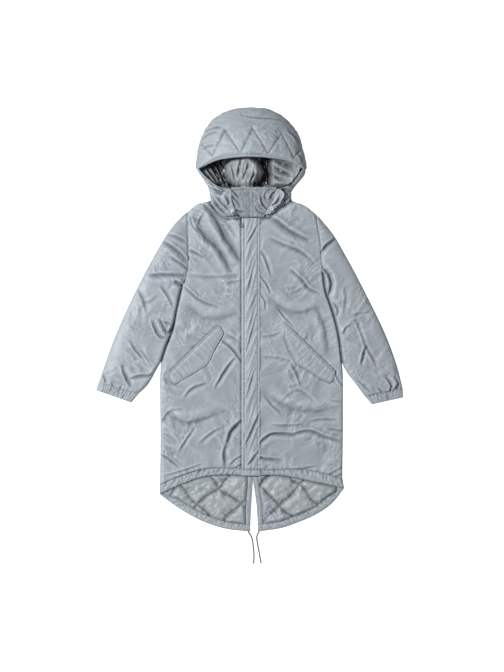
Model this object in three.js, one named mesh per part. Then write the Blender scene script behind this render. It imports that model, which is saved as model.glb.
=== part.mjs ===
// Long hooded fishtail parka, laid flat on its back with the hood standing open.
// Millimetres. +X points to the wearer's left, +Y towards the hood and +Z up.
// The coat lies on the plane z = 0. "right" and "left" are the wearer's own.

import * as THREE from 'three';

// Heights of the layers, each SEAM_GAP clear of the next
const SEAM_GAP = 0.3;
const BACK_THICKNESS = 6;
const BACK_EDGE_INSET = 2.5;
const SECOND_LAYER = BACK_THICKNESS + SEAM_GAP;
const FRONT_TOP = 18;
const TRIM_LAYER = FRONT_TOP + SEAM_GAP;
const PLACKET_TOP = 21.6;
const FLAP_TOP = 22;
const SLEEVE_TOP = 25;
const CUFF_TOP = 20;
const HEM_BAND_TOP = 17;
const TAIL_LINING_TOP = 14;
const TAIL_BAND_TOP = 13;
const FACING_TOP = 11.5;
const THINNEST_WALL = 2.5;

// Widths of the edges, bands and rounded rims
const PLACKET = { freeEdge: -28.5, sewnEdge: 31, top: 323, bottom: -501 };
const TAIL_BAND_WIDTH = 21;
const FACING_WIDTH = 16;
const LINING_TO_BAND = 1;
const FACING_TO_BAND = 2.5;
const TAIL_QUILT_PITCH = 88;
const TAIL_QUILT_DEPTH = 4.5;
const ROUND_EDGE = 30;
const SEAM_DIP_WIDTH = 16;

// Cords
const TAIL_CORD_RADIUS = 1.75;
const HOOD_CORD_RADIUS = 1.5;
const CORD_SIDES = 8;

// Seams and free edges of one side, each a row of [x, y] points along the cloth
const RIGHT = {
  name: 'right',
  neckline: [[-129, 379], [-114, 350], [-100, 335], [-82, 326], [-50, 325], [0, 325]],
  shoulder: [[-129, 379], [-172, 368], [-204, 342]],
  armhole: [[-204, 342], [-203, 291], [-201, 230], [-200, 182], [-206, 138], [-220, 106]],
  underarm: [[-220, 106], [-235, 38], [-250, -35], [-269, -83], [-286, -134]],
  side: [[-286, -134], [-290, -180], [-290, -285], [-289, -387], [-291, -530]],
  hemSeam: [[-291, -530], [-213, -497], [-153, -480], [-73, -476], [0, -481]],
  hemEdge: [[-290, -560], [-209, -525], [-153, -506], [-73, -499], [0, -503]],
  sleeveOuter: [[-220, 330], [-255, 291], [-303, 214], [-364, 99], [-434, -54], [-469, -150], [-487, -203]],
  sleeveInner: [[-286, -134], [-300, -157], [-329, -208], [-359, -238]],
  cuffEnd: { inner: [-383, -266], outer: [-495, -227] },
  tailSide: [[-291, -530], [-290, -561]],
  tailEdge: [[-290, -561], [-249, -592], [-188, -630], [-146, -650], [-82, -670], [-3, -679.5]],
  ventEdge: [[7, -512], [4, -554], [1, -600], [-3, -679.5]],
};
const LEFT = {
  name: 'left',
  neckline: [[131, 379], [113, 368], [81, 345], [66, 333], [49, 326], [0, 325]],
  shoulder: [[131, 379], [172, 364], [206, 338]],
  armhole: [[206, 338], [215, 291], [222, 250], [225, 205], [228, 173], [231, 147]],
  underarm: [[231, 147], [238, 93], [260, 29], [279, -45], [292, -138]],
  side: [[292, -138], [295, -185], [295, -270], [295, -355], [293, -511]],
  hemSeam: [[293, -511], [209, -487], [139, -480], [68, -482], [0, -481]],
  hemEdge: [[298, -541], [209, -523], [115, -504], [40, -500], [0, -503]],
  sleeveOuter: [[222, 322], [263, 272], [308, 195], [359, 99], [433, -54], [468, -150], [486, -221]],
  sleeveInner: [[292, -138], [308, -170], [337, -208], [364, -245]],
  cuffEnd: { inner: [388, -272], outer: [487, -250] },
  tailSide: [[293, -511], [298, -542]],
  tailEdge: [[298, -542], [257, -592], [199, -630], [151, -650], [103, -667], [24, -679.5]],
  ventEdge: [[7, -512], [13, -554], [19, -600], [24, -679.5]],
};
const BACK_NECK = [[-129, 379], [-60, 358], [3, 352], [66, 358], [131, 379]];
const CENTRE_BACK_X = 7;

// Folds of the cloth: a trough from (x1, y1) to (x2, y2), with its half width and depth
const FRONT_FOLDS = {
  right: [
    { x1: -147, y1: 303, x2: -45, y2: 175, width: 24, depth: 4.5 },
    { x1: -195, y1: 95, x2: -105, y2: 38, width: 20, depth: 3.5 },
    { x1: -188, y1: 218, x2: -148, y2: 200, width: 18, depth: 3 },
    { x1: -85, y1: -76, x2: -38, y2: -135, width: 18, depth: 3 },
    { x1: -56, y1: -130, x2: -112, y2: -218, width: 18, depth: 3.5 },
    { x1: -34, y1: -332, x2: -82, y2: -400, width: 20, depth: 6 },
    { x1: -82, y1: -400, x2: -80, y2: -464, width: 18, depth: 5 },
    { x1: -190, y1: -360, x2: -228, y2: -422, width: 18, depth: 3 },
    { x1: -284, y1: -434, x2: -232, y2: -474, width: 18, depth: 4 },
  ],
  left: [
    { x1: 64, y1: 322, x2: 127, y2: 273, width: 20, depth: 4.5 },
    { x1: 127, y1: 273, x2: 186, y2: 254, width: 20, depth: 4 },
    { x1: 132, y1: 151, x2: 186, y2: 93, width: 20, depth: 4 },
    { x1: 70, y1: 248, x2: 196, y2: 182, width: 20, depth: 3 },
    { x1: 150, y1: -150, x2: 196, y2: -234, width: 20, depth: 3.5 },
    { x1: 46, y1: -246, x2: 97, y2: -304, width: 18, depth: 2.5 },
    { x1: 46, y1: -394, x2: 143, y2: -370, width: 20, depth: 5 },
    { x1: 143, y1: -370, x2: 288, y2: -394, width: 20, depth: 5 },
    { x1: 34, y1: -445, x2: 80, y2: -450, width: 16, depth: 4 },
  ],
};
const SLEEVE_FOLDS = {
  right: [
    { x1: -279, y1: 250, x2: -202, y2: 190, width: 18, depth: 6 },
    { x1: -319, y1: 141, x2: -207, y2: 146, width: 18, depth: 7 },
    { x1: -357, y1: 93, x2: -332, y2: 13, width: 18, depth: 3 },
    { x1: -290, y1: -3, x2: -274, y2: -45, width: 16, depth: 8 },
    { x1: -255, y1: -10, x2: -274, y2: -45, width: 16, depth: 8 },
    { x1: -373, y1: -74, x2: -341, y2: -125, width: 18, depth: 3 },
    { x1: -409, y1: -157, x2: -383, y2: -211, width: 18, depth: 6 },
    { x1: -383, y1: -195, x2: -300, y2: -157, width: 18, depth: 6 },
  ],
  left: [
    { x1: 231, y1: 214, x2: 270, y2: 254, width: 18, depth: 6 },
    { x1: 225, y1: 182, x2: 254, y2: 109, width: 20, depth: 8 },
    { x1: 299, y1: -45, x2: 324, y2: -19, width: 16, depth: 4 },
    { x1: 333, y1: 4, x2: 372, y2: -93, width: 18, depth: 3 },
    { x1: 369, y1: -93, x2: 353, y2: -143, width: 16, depth: 5 },
    { x1: 420, y1: -208, x2: 435, y2: -150, width: 16, depth: 4 },
  ],
};

// Pocket flaps: corners in order, the first two ends of the sewn top edge
const FLAPS = {
  right: [
    [-260, -166], [-185, -93], [-110, -21], [-92, -31], [-86, -48], [-102, -68], [-114, -96],
    [-126, -124], [-137, -142], [-159, -159], [-200, -184], [-242, -210], [-258, -200], [-265, -182],
  ],
  left: [
    [112, -12], [190, -87], [272, -167], [266, -186], [253, -206], [226, -193], [198, -175],
    [165, -155], [146, -144], [138, -130], [122, -101], [107, -72], [106, -42],
  ],
};

// Hood shell, sections along the face opening from the wearer's right to the left
const HOOD_EDGE = [[-166, 480], [-110, 508], [-69, 516], [3, 521], [65, 516], [118, 507], [167, 480]];
const HOOD_FOOT = [
  [-175, 485], [-172, 522], [-165, 560], [-149, 598], [-121, 637], [-69, 669],
  [3, 678], [65, 669], [116, 637], [148, 598], [161, 560], [171, 522], [177, 484],
];
const HOOD_RISE = { corner: 46, crown: 104 };
const HOOD_WALL = { corner: 6, crown: 9 };
const HOOD_COLUMNS = 40;
const BRIM_ROWS = 11;
const CROWN_ROWS = 5;
const CROWN_COLUMNS = { first: 12, split: 21, last: 32 };
const BRIM_SEAM_AT_CENTRE = 0.56;
const CROWN_SPLIT_FRACTION = 0.5;
const QUILT_LIFT = 3.2;
const QUILT_HALF_WIDTH = 9;
// Zigzag stitch line of the brim: place along the opening, and part of the way to the foot
const BRIM_ZIGZAG = [
  { along: 0.06, depth: 0.5 }, { along: 0.18, depth: 0.06 }, { along: 0.36, depth: 0.46 },
  { along: 0.43, depth: 0.02 }, { along: 0.5, depth: 0.49 }, { along: 0.575, depth: 0.02 },
  { along: 0.65, depth: 0.46 }, { along: 0.82, depth: 0.06 }, { along: 0.94, depth: 0.5 },
];

// Lower sides of the hood: face edge, foot, height of the edge and wall, from corner to neckline
const HOOD_SIDES = {
  right: [
    { edge: [-166, 479], foot: [-175, 484], rise: 46, wall: 6 },
    { edge: [-140, 451], foot: [-162, 462], rise: 44, wall: 7 },
    { edge: [-108, 426], foot: [-146, 442], rise: 43, wall: 8 },
    { edge: [-82, 418], foot: [-137, 424], rise: 42, wall: 8 },
    { edge: [-63, 413], foot: [-130, 402], rise: 42, wall: 8 },
    { edge: [-60, 381], foot: [-128, 381], rise: 34, wall: 8 },
    { edge: [-52, 356], foot: [-113, 353], rise: 27, wall: 7 },
    { edge: [-40, 333], foot: [-85, 329.5], rise: 22, wall: 6 },
  ],
  left: [
    { edge: [167, 479], foot: [177, 483], rise: 46, wall: 6 },
    { edge: [148, 454], foot: [171, 461], rise: 44, wall: 7 },
    { edge: [126, 430], foot: [157, 443], rise: 43, wall: 8 },
    { edge: [103, 420], foot: [141, 425], rise: 42, wall: 8 },
    { edge: [83, 413], foot: [127, 403], rise: 42, wall: 8 },
    { edge: [73, 384], foot: [127, 381], rise: 34, wall: 8 },
    { edge: [57, 356], foot: [96, 358.5], rise: 27, wall: 7 },
    { edge: [44, 334], foot: [68, 337.5], rise: 22, wall: 6 },
  ],
};
const SIDE_STEPS_PER_ROW = 2;
const COLLAR_FROM_ROW = 4;

// Stand collar, sloping up from the neckline to its top edge
const COLLAR = { topEdge: 421, bottomRise: 14, topRise: 40, wall: 7, overlapEdge: -12, bandEnd: 36 };
const COLLAR_BAND_LIFT = 1.6;
const NECKLINE_Y = 327;

// Lining inside the hood: a padded hollow that climbs towards the face edge
const LINING = {
  bottom: 404, rise: 10, wall: 5, footInset: 13, edgeClimb: 22, climbWidth: 24, clearOfCollar: 420,
};
const LINING_BULGE = { x: -28, y: 470, halfWidth: 52, halfLength: 44, height: 17 };

// Eyelets of the hood drawcord, on the lower sides near the neckline
const EYELET = { outer: 4.5, inner: 2, thickness: 1.2, lift: 0.5 };
const EYELET_PLACES = { right: { row: 6.4, across: 0.12 }, left: { row: 6.1, across: 0.2 } };

// Cord routes, chosen by hand: x, y and z of the centreline
const TAIL_CORD_ROUTES = {
  right: [
    [-8, -680.1, 9], [-7, -684.5, 6.2], [-4, -690, 3], [0.6, -696, 1.9], [3.5, -705, 1.9], [6, -715, 1.9],
    [7, -728, 1.9], [9.6, -742, 1.9], [10.4, -752, 1.9], [10, -761, 1.9], [9.6, -772, 1.9], [9, -784, 1.9],
  ],
  left: [
    [27, -680.6, 9], [24.5, -684, 6], [21, -689, 3], [19, -696, 1.9], [20, -703, 1.9], [22, -711, 1.9],
    [24, -721, 1.9], [26, -732, 1.9], [27.5, -742, 1.9], [29, -752, 1.9], [31, -768, 1.9], [33, -783, 1.9],
  ],
};
const HOOD_CORD_ROUTE = [
  [-55.2, 346.4, 29], [-50, 341, 28.6], [-45, 334, 26.6], [-41, 327, 23], [-37, 319, 21], [-32, 310, 22],
  [-27, 303, 22.9], [-24, 297, 23], [-27, 293, 22.9], [-32, 296, 22.4], [-37, 303, 21],
  [-42, 311, 20], [-47, 320, 21.2], [-51, 328, 25], [-55, 335, 27.8], [-58.8, 342, 29.2],
];

// Materials
function cloth(colour, roughness) {
  return new THREE.MeshStandardMaterial({ color: colour, roughness, metalness: 0 });
}
const SHELL_CLOTH = cloth(0xa9b1b8, 0.55);
const LINING_CLOTH = cloth(0x9aa3aa, 0.45);
const CORD = cloth(0x6f757b, 0.7);
const EYELET_METAL = new THREE.MeshStandardMaterial({ color: 0xd8dadc, roughness: 0.3, metalness: 0.9 });

const coat = new THREE.Group();

function addPiece(name, geometry, material) {
  const mesh = new THREE.Mesh(geometry, material);
  mesh.name = name;
  coat.add(mesh);
}

// Plane curves
const vector = ([x, y]) => new THREE.Vector3(x, y, 0);

function curveThrough(points) {
  return new THREE.CatmullRomCurve3(points.map(vector), false, 'centripetal');
}

function sampled(points, segments) {
  return curveThrough(points).getSpacedPoints(segments).map((p) => [p.x, p.y]);
}

function straight(from, to, segments) {
  const points = [];
  for (let i = 0; i <= segments; i += 1) {
    const t = i / segments;
    points.push([from[0] + (to[0] - from[0]) * t, from[1] + (to[1] - from[1]) * t]);
  }
  return points;
}

// Evenly spaced points along a line of straight stretches
function alongLine(points, segments) {
  const lengths = [0];
  for (let i = 1; i < points.length; i += 1) {
    const [a, b] = [points[i - 1], points[i]];
    lengths.push(lengths[i - 1] + Math.hypot(b[0] - a[0], b[1] - a[1]));
  }
  const total = lengths[lengths.length - 1];
  return straight([0, 0], [total, 0], segments).map(([wanted]) => {
    const next = Math.max(1, lengths.findIndex((length) => length >= wanted - 1e-6));
    const mix = (wanted - lengths[next - 1]) / (lengths[next] - lengths[next - 1]);
    const [a, b] = [points[next - 1], points[next]];
    return [a[0] + (b[0] - a[0]) * mix, a[1] + (b[1] - a[1]) * mix];
  });
}

function chain(...parts) {
  return parts.flatMap((part, index) => (index === 0 ? part : part.slice(1)));
}

function refined(points, times) {
  const parts = [];
  for (let i = 0; i + 1 < points.length; i += 1) parts.push(straight(points[i], points[i + 1], times));
  return chain(...parts);
}

function loopArea(loop) {
  let twice = 0;
  loop.forEach(([x, y], i) => {
    const [nextX, nextY] = loop[(i + 1) % loop.length];
    twice += x * nextY - nextX * y;
  });
  return twice / 2;
}

// A closed outline moved inwards by a distance, with mitred corners
function inset(loop, distance) {
  const turn = Math.sign(loopArea(loop));
  const count = loop.length;
  const inward = (a, b) => {
    const length = Math.hypot(b[0] - a[0], b[1] - a[1]);
    return [(-turn * (b[1] - a[1])) / length, (turn * (b[0] - a[0])) / length];
  };
  return loop.map((point, i) => {
    const before = inward(loop[(i + count - 1) % count], point);
    const after = inward(point, loop[(i + 1) % count]);
    const spread = Math.max(0.35, 1 + before[0] * after[0] + before[1] * after[1]);
    const scale = distance / spread;
    return [point[0] + (before[0] + after[0]) * scale, point[1] + (before[1] + after[1]) * scale];
  });
}

function distanceTo(line, x, y) {
  let nearest = Infinity;
  for (let i = 0; i + 1 < line.length; i += 1) {
    const [ax, ay] = line[i];
    const dx = line[i + 1][0] - ax;
    const dy = line[i + 1][1] - ay;
    const along = THREE.MathUtils.clamp(((x - ax) * dx + (y - ay) * dy) / (dx * dx + dy * dy), 0, 1);
    nearest = Math.min(nearest, Math.hypot(x - ax - dx * along, y - ay - dy * along));
  }
  return nearest;
}

// Heights of the cloth
function roundedDrop(distance, width) {
  const near = Math.max(0, 1 - distance / width);
  return 1 - Math.sqrt(1 - near * near);
}

function softDrop(distance, width) {
  const near = Math.max(0, 1 - distance / width);
  return near * near;
}

function foldDrop(folds, x, y) {
  return folds.reduce((sum, fold) => {
    const away = distanceTo([[fold.x1, fold.y1], [fold.x2, fold.y2]], x, y) / fold.width;
    return sum + fold.depth * Math.exp(-away * away);
  }, 0);
}

// A patch of cloth between four edges. top and bottom run across, near and far run down.
function patch({ top, bottom, near, far }, gap = SEAM_GAP / 2) {
  const across = top.length - 1;
  const down = near.length - 1;
  const loop = [
    ...top,
    ...far.slice(1),
    ...bottom.slice(0, across).reverse(),
    ...near.slice(1, down).reverse(),
  ];
  const edge = inset(loop, gap);
  const topEdge = edge.slice(0, across + 1);
  const farEdge = edge.slice(across, across + down + 1);
  const bottomEdge = edge.slice(across + down, 2 * across + down + 1).reverse();
  const nearEdge = [edge[0], ...edge.slice(2 * across + down).reverse()];
  const rows = [];
  for (let j = 0; j <= down; j += 1) {
    const v = j / down;
    const row = [];
    for (let i = 0; i <= across; i += 1) {
      const u = i / across;
      const point = [0, 1].map((k) => (
        (1 - v) * topEdge[i][k] + v * bottomEdge[i][k] + (1 - u) * nearEdge[j][k] + u * farEdge[j][k]
        - (1 - u) * (1 - v) * topEdge[0][k] - u * (1 - v) * topEdge[across][k]
        - (1 - u) * v * bottomEdge[0][k] - u * v * bottomEdge[across][k]
      ));
      row.push({ x: point[0], y: point[1], u, v });
    }
    rows.push(row);
  }
  return rows;
}

function geometryFrom(vertices, triangles) {
  let volume = 0;
  triangles.forEach(([a, b, c]) => {
    volume += new THREE.Vector3(...vertices[a]).dot(
      new THREE.Vector3(...vertices[b]).cross(new THREE.Vector3(...vertices[c])),
    );
  });
  const faces = volume > 0 ? triangles : triangles.map(([a, b, c]) => [a, c, b]);
  const geometry = new THREE.BufferGeometry();
  geometry.setAttribute('position', new THREE.Float32BufferAttribute(vertices.flat(), 3));
  geometry.setIndex(faces.flat());
  geometry.computeVertexNormals();
  return geometry;
}

function gridLoop(rows, columns) {
  const loop = [];
  for (let i = 0; i < columns; i += 1) loop.push([0, i]);
  for (let j = 0; j < rows; j += 1) loop.push([j, columns]);
  for (let i = columns; i > 0; i -= 1) loop.push([rows, i]);
  for (let j = rows; j > 0; j -= 1) loop.push([j, 0]);
  return loop;
}

function gridTriangles(rows, columns, index, flipped) {
  const triangles = [];
  for (let j = 0; j < rows; j += 1) {
    for (let i = 0; i < columns; i += 1) {
      const [a, b, c, d] = [index(j, i), index(j, i + 1), index(j + 1, i + 1), index(j + 1, i)];
      if (flipped) triangles.push([a, b, c], [a, c, d]);
      else triangles.push([a, c, b], [a, d, c]);
    }
  }
  return triangles;
}

// Cloth with a flat underside at one height and a shaped upper side
function slab(grid, underside, topHeight) {
  const rows = grid.length - 1;
  const columns = grid[0].length - 1;
  const vertices = grid.flat().map(({ x, y, u, v }) => [x, y, topHeight(x, y, u, v)]);
  const index = (j, i) => j * (columns + 1) + i;
  const triangles = gridTriangles(rows, columns, index, false);
  const rim = gridLoop(rows, columns).map(([j, i]) => index(j, i));
  const firstUnder = vertices.length;
  rim.forEach((top) => vertices.push([vertices[top][0], vertices[top][1], underside]));
  rim.forEach((top, k) => {
    const next = (k + 1) % rim.length;
    triangles.push([top, rim[next], firstUnder + next], [top, firstUnder + next, firstUnder + k]);
  });
  const outline = rim.map((top) => new THREE.Vector2(vertices[top][0], vertices[top][1]));
  THREE.ShapeUtils.triangulateShape(outline, []).forEach((face) => {
    triangles.push(face.map((i) => firstUnder + i));
  });
  return geometryFrom(vertices, alignedTriangles(triangles));
}

// Cloth shaped on both sides, with the same grid above and below
function layer(grid, topHeight, underHeight) {
  const rows = grid.length - 1;
  const columns = grid[0].length - 1;
  const flat = grid.flat();
  const vertices = [
    ...flat.map(({ x, y, u, v }) => [x, y, topHeight(x, y, u, v)]),
    ...flat.map(({ x, y, u, v }) => [x, y, underHeight(x, y, u, v)]),
  ];
  const index = (j, i) => j * (columns + 1) + i;
  const under = flat.length;
  const triangles = [
    ...gridTriangles(rows, columns, index, false),
    ...gridTriangles(rows, columns, (j, i) => under + index(j, i), true),
  ];
  const rim = gridLoop(rows, columns).map(([j, i]) => index(j, i));
  rim.forEach((top, k) => {
    const next = rim[(k + 1) % rim.length];
    triangles.push([top, next, under + next], [top, under + next, under + top]);
  });
  return geometryFrom(vertices, alignedTriangles(triangles));
}

// A flat piece built of nested outlines, each level with its inset and height
function ringed(outline, levels) {
  const loops = levels.map(({ inward, z }) => (
    (inward === 0 ? outline : inset(outline, inward)).map(([x, y]) => [x, y, z])
  ));
  const vertices = loops.flat();
  const count = outline.length;
  const triangles = [];
  for (let k = 0; k + 1 < loops.length; k += 1) {
    for (let i = 0; i < count; i += 1) {
      const next = (i + 1) % count;
      const [a, b, c, d] = [k * count + i, k * count + next, (k + 1) * count + next, (k + 1) * count + i];
      triangles.push([a, b, c], [a, c, d]);
    }
  }
  [0, loops.length - 1].forEach((k) => {
    const shape = loops[k].map(([x, y]) => new THREE.Vector2(x, y));
    THREE.ShapeUtils.triangulateShape(shape, []).forEach((face) => {
      triangles.push(face.map((i) => k * count + i));
    });
  });
  return geometryFrom(vertices, alignedTriangles(triangles));
}

// Turns the faces of one closed surface the same way round, by walking across shared edges
function alignedTriangles(triangles) {
  const byEdge = new Map();
  const edgeKey = (a, b) => (a < b ? `${a}_${b}` : `${b}_${a}`);
  triangles.forEach((face, index) => {
    for (let k = 0; k < 3; k += 1) {
      const key = edgeKey(face[k], face[(k + 1) % 3]);
      if (!byEdge.has(key)) byEdge.set(key, []);
      byEdge.get(key).push(index);
    }
  });
  const runs = (face, a, b) => [0, 1, 2].some((k) => face[k] === a && face[(k + 1) % 3] === b);
  const done = new Array(triangles.length).fill(false);
  const aligned = triangles.map((face) => [...face]);
  const queue = [0];
  done[0] = true;
  while (queue.length > 0) {
    const face = aligned[queue.pop()];
    for (let k = 0; k < 3; k += 1) {
      const [a, b] = [face[k], face[(k + 1) % 3]];
      byEdge.get(edgeKey(a, b)).filter((other) => !done[other]).forEach((other) => {
        if (runs(aligned[other], a, b)) aligned[other].reverse();
        done[other] = true;
        queue.push(other);
      });
    }
  }
  return aligned;
}

// Seams of one side, cut into shared points
const STEPS = { neckline: 14, shoulder: 4, armhole: 8, underarm: 8, side: 12, sleeveInner: 6 };
const HEM_REFINE = 3;

function seamsOf(side) {
  const seams = {};
  Object.entries(STEPS).forEach(([name, steps]) => {
    seams[name] = sampled(side[name], steps);
  });
  seams.hemSeam = sampled(side.hemSeam, STEPS.neckline);
  seams.hemEdge = sampled(side.hemEdge, STEPS.neckline);
  seams.tailEdge = sampled(side.tailEdge, 16);
  seams.ventEdge = sampled(side.ventEdge, 6);
  return seams;
}
const SEAMS = { right: seamsOf(RIGHT), left: seamsOf(LEFT) };

// Back, with one half of the fishtail
function addBack(side) {
  const seams = SEAMS[side.name];
  const neck = sampled(BACK_NECK, 16);
  const halfNeck = side.name === 'right'
    ? neck.filter(([x]) => x < CENTRE_BACK_X - 1).reverse()
    : neck.filter(([x]) => x > CENTRE_BACK_X + 1);
  const centreTop = [CENTRE_BACK_X, 352];
  const outline = [
    centreTop,
    ...halfNeck.slice(0, -1),
    ...chain(seams.shoulder, seams.armhole, seams.underarm, seams.side, side.tailSide, seams.tailEdge),
    ...seams.ventEdge.slice(1, -1).reverse(),
    [CENTRE_BACK_X, -511],
  ];
  const edge = inset(outline, SEAM_GAP / 2);
  addPiece(`back_${side.name}`, ringed(edge, [
    { inward: BACK_EDGE_INSET, z: 0 },
    { inward: 0, z: BACK_THICKNESS / 2 },
    { inward: 0, z: BACK_THICKNESS },
  ]), SHELL_CLOTH);
}

// Front, from the neckline and armhole down to the hem seam
function addFront(side) {
  const seams = SEAMS[side.name];
  const near = chain(seams.shoulder, seams.armhole, seams.underarm, seams.side);
  const centreTop = seams.neckline[seams.neckline.length - 1];
  const centreBottom = seams.hemSeam[seams.hemSeam.length - 1];
  const grid = patch({
    top: seams.neckline,
    bottom: seams.hemSeam,
    near,
    far: straight(centreTop, centreBottom, near.length - 1),
  });
  const freeEdges = [seams.shoulder, seams.side];
  const folds = FRONT_FOLDS[side.name];
  const flap = [...FLAPS[side.name], FLAPS[side.name][0]];
  const height = (x, y) => {
    const edgeDrop = Math.max(...freeEdges.map((line) => 8 * roundedDrop(distanceTo(line, x, y), ROUND_EDGE)));
    const underarmDrop = 7 * roundedDrop(distanceTo(seams.underarm, x, y), ROUND_EDGE);
    const seamDrop = 3 * softDrop(distanceTo(seams.armhole, x, y), SEAM_DIP_WIDTH)
      + 3 * softDrop(distanceTo(seams.hemSeam, x, y), SEAM_DIP_WIDTH)
      + 4 * softDrop(distanceTo(seams.neckline, x, y), SEAM_DIP_WIDTH);
    const carriesTrim = Math.min(1, distanceTo(flap, x, y) / 24, Math.max(0, Math.abs(x) - 34) / 12);
    const drop = Math.max(edgeDrop, underarmDrop) + seamDrop + foldDrop(folds, x, y) * carriesTrim;
    return Math.max(SECOND_LAYER + THINNEST_WALL, FRONT_TOP - drop);
  };
  addPiece(`front_${side.name}`, slab(grid, SECOND_LAYER, height), SHELL_CLOTH);
}

// Channel along the front hem, gathered a little by its drawcord
function addFrontHem(side) {
  const seams = SEAMS[side.name];
  const top = refined(seams.hemSeam, HEM_REFINE);
  const bottom = refined(seams.hemEdge, HEM_REFINE);
  const grid = patch({
    top,
    bottom,
    near: straight(top[0], bottom[0], 3),
    far: straight(top[top.length - 1], bottom[bottom.length - 1], 3),
  });
  const height = (x, y, u, v) => {
    const crown = Math.sin(Math.PI * THREE.MathUtils.clamp(v, 0.08, 0.92));
    const pucker = Math.abs(x) > 38 ? 1.8 * Math.sin(x * 0.42) * Math.sin(Math.PI * v) : 0;
    const sideDrop = 6 * roundedDrop(Math.abs(x - top[0][0]), ROUND_EDGE);
    return HEM_BAND_TOP - 4.5 + 3.2 * crown + pucker - sideDrop;
  };
  addPiece(`front_hem_${side.name}`, layer(grid, height, () => SECOND_LAYER), SHELL_CLOTH);
}

// Storm flap over the front zip, with long slanting puckers
function addPlacket() {
  const corners = {
    topLeft: [PLACKET.freeEdge, PLACKET.top],
    topRight: [PLACKET.sewnEdge, PLACKET.top],
    bottomLeft: [PLACKET.freeEdge, PLACKET.bottom],
    bottomRight: [PLACKET.sewnEdge, PLACKET.bottom],
  };
  const grid = patch({
    top: straight(corners.topLeft, corners.topRight, 5),
    bottom: straight(corners.bottomLeft, corners.bottomRight, 5),
    near: straight(corners.topLeft, corners.bottomLeft, 36),
    far: straight(corners.topRight, corners.bottomRight, 36),
  }, 0);
  const height = (x, y, u) => {
    const pucker = 1.1 * Math.sin((y - 2.2 * x) / 14) * Math.sin(Math.PI * u);
    return PLACKET_TOP - 1.2 + 1.2 * Math.sin(Math.PI * u) + pucker;
  };
  addPiece('placket', slab(grid, TRIM_LAYER, height), SHELL_CLOTH);
}

function addFlap(side) {
  addPiece(`pocket_flap_${side.name}`, ringed(FLAPS[side.name], [
    { inward: 0, z: TRIM_LAYER },
    { inward: 0, z: FLAP_TOP - 1.8 },
    { inward: 2, z: FLAP_TOP - 0.8 },
    { inward: 5, z: FLAP_TOP - 1.4 },
    { inward: 9, z: FLAP_TOP },
  ]), SHELL_CLOTH);
}

// Sleeve, folded flat: the upper side over the under side
function addSleeve(side) {
  const seams = SEAMS[side.name];
  const near = chain(seams.armhole, seams.underarm, seams.sleeveInner);
  const far = sampled(side.sleeveOuter, near.length - 1);
  const end = near.length - 1;
  const acrossSteps = 9;
  const grid = patch({
    top: straight(near[0], far[0], acrossSteps),
    bottom: straight(near[end], far[end], acrossSteps),
    near,
    far,
  });
  const folds = SLEEVE_FOLDS[side.name];
  const height = (x, y, u, v) => {
    const fullness = SLEEVE_TOP - SECOND_LAYER - 5;
    const round = Math.sqrt(Math.max(0, 1 - (2 * u - 1) ** 4));
    const cap = 4 * softDrop(v * 100, 25);
    const atCuff = 4 * softDrop((1 - v) * 100, 12);
    const drop = foldDrop(folds, x, y);
    return Math.max(SECOND_LAYER + THINNEST_WALL, SECOND_LAYER + 5 + fullness * round - cap - atCuff - drop);
  };
  addPiece(`sleeve_${side.name}_upper`, slab(grid, SECOND_LAYER, height), SHELL_CLOTH);

  const outline = [...near, ...far.slice().reverse()];
  addPiece(`sleeve_${side.name}_under`, ringed(inset(outline, SEAM_GAP / 2), [
    { inward: BACK_EDGE_INSET, z: 0 },
    { inward: 0, z: BACK_THICKNESS },
  ]), SHELL_CLOTH);
  addCuff(side, near[end], far[end]);
}

// Elastic cuff band: two layers, gathered into short ribs
function addCuff(side, innerSeam, outerSeam) {
  const { inner, outer } = side.cuffEnd;
  const acrossSteps = 24;
  const ribs = 9;
  const downSteps = 3;
  const grid = patch({
    top: straight(innerSeam, outerSeam, acrossSteps),
    bottom: straight(inner, outer, acrossSteps),
    near: straight(innerSeam, inner, downSteps),
    far: straight(outerSeam, outer, downSteps),
  });
  const height = (x, y, u, v) => {
    const round = Math.sqrt(Math.max(0, 1 - (2 * u - 1) ** 4));
    const rib = 2 * Math.sin(2 * Math.PI * ribs * u) * Math.sin(Math.PI * THREE.MathUtils.clamp(v, 0.15, 0.85));
    return SECOND_LAYER + 4 + (CUFF_TOP - SECOND_LAYER - 6) * round + rib * round;
  };
  addPiece(`cuff_${side.name}_upper`, slab(grid, SECOND_LAYER, height), SHELL_CLOTH);
  const outline = [innerSeam, ...straight(inner, outer, 4), outerSeam];
  addPiece(`cuff_${side.name}_under`, ringed(inset(outline, SEAM_GAP / 2), [
    { inward: BACK_EDGE_INSET, z: 0 },
    { inward: 0, z: BACK_THICKNESS },
  ]), SHELL_CLOTH);
}

// Inside of one half of the fishtail: quilted lining, hem channel and vent facing
function addTail(side) {
  const seams = SEAMS[side.name];
  const inwards = side.name === 'right' ? -1 : 1;
  const bandOuter = seams.tailEdge;
  const last = bandOuter.length - 1;
  const bandInner = bandOuter.map(([x, y], i) => {
    const [px, py] = bandOuter[Math.max(0, i - 1)];
    const [nx, ny] = bandOuter[Math.min(last, i + 1)];
    const length = Math.hypot(nx - px, ny - py);
    const width = TAIL_BAND_WIDTH * Math.min(1, 0.1 + i / 3);
    return [x + (inwards * (ny - py) * width) / length, y - (inwards * (nx - px) * width) / length];
  });
  const ventBottom = [bandOuter[last][0], bandInner[last][1]];
  bandInner[last] = ventBottom;
  addTailBand(side, bandInner, bandOuter);
  const facingTop = [CENTRE_BACK_X + inwards * 1, -505];
  addFacing(side, facingTop, ventBottom, inwards);
  addTailLining(side, bandInner, facingTop, ventBottom, inwards);
}

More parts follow.
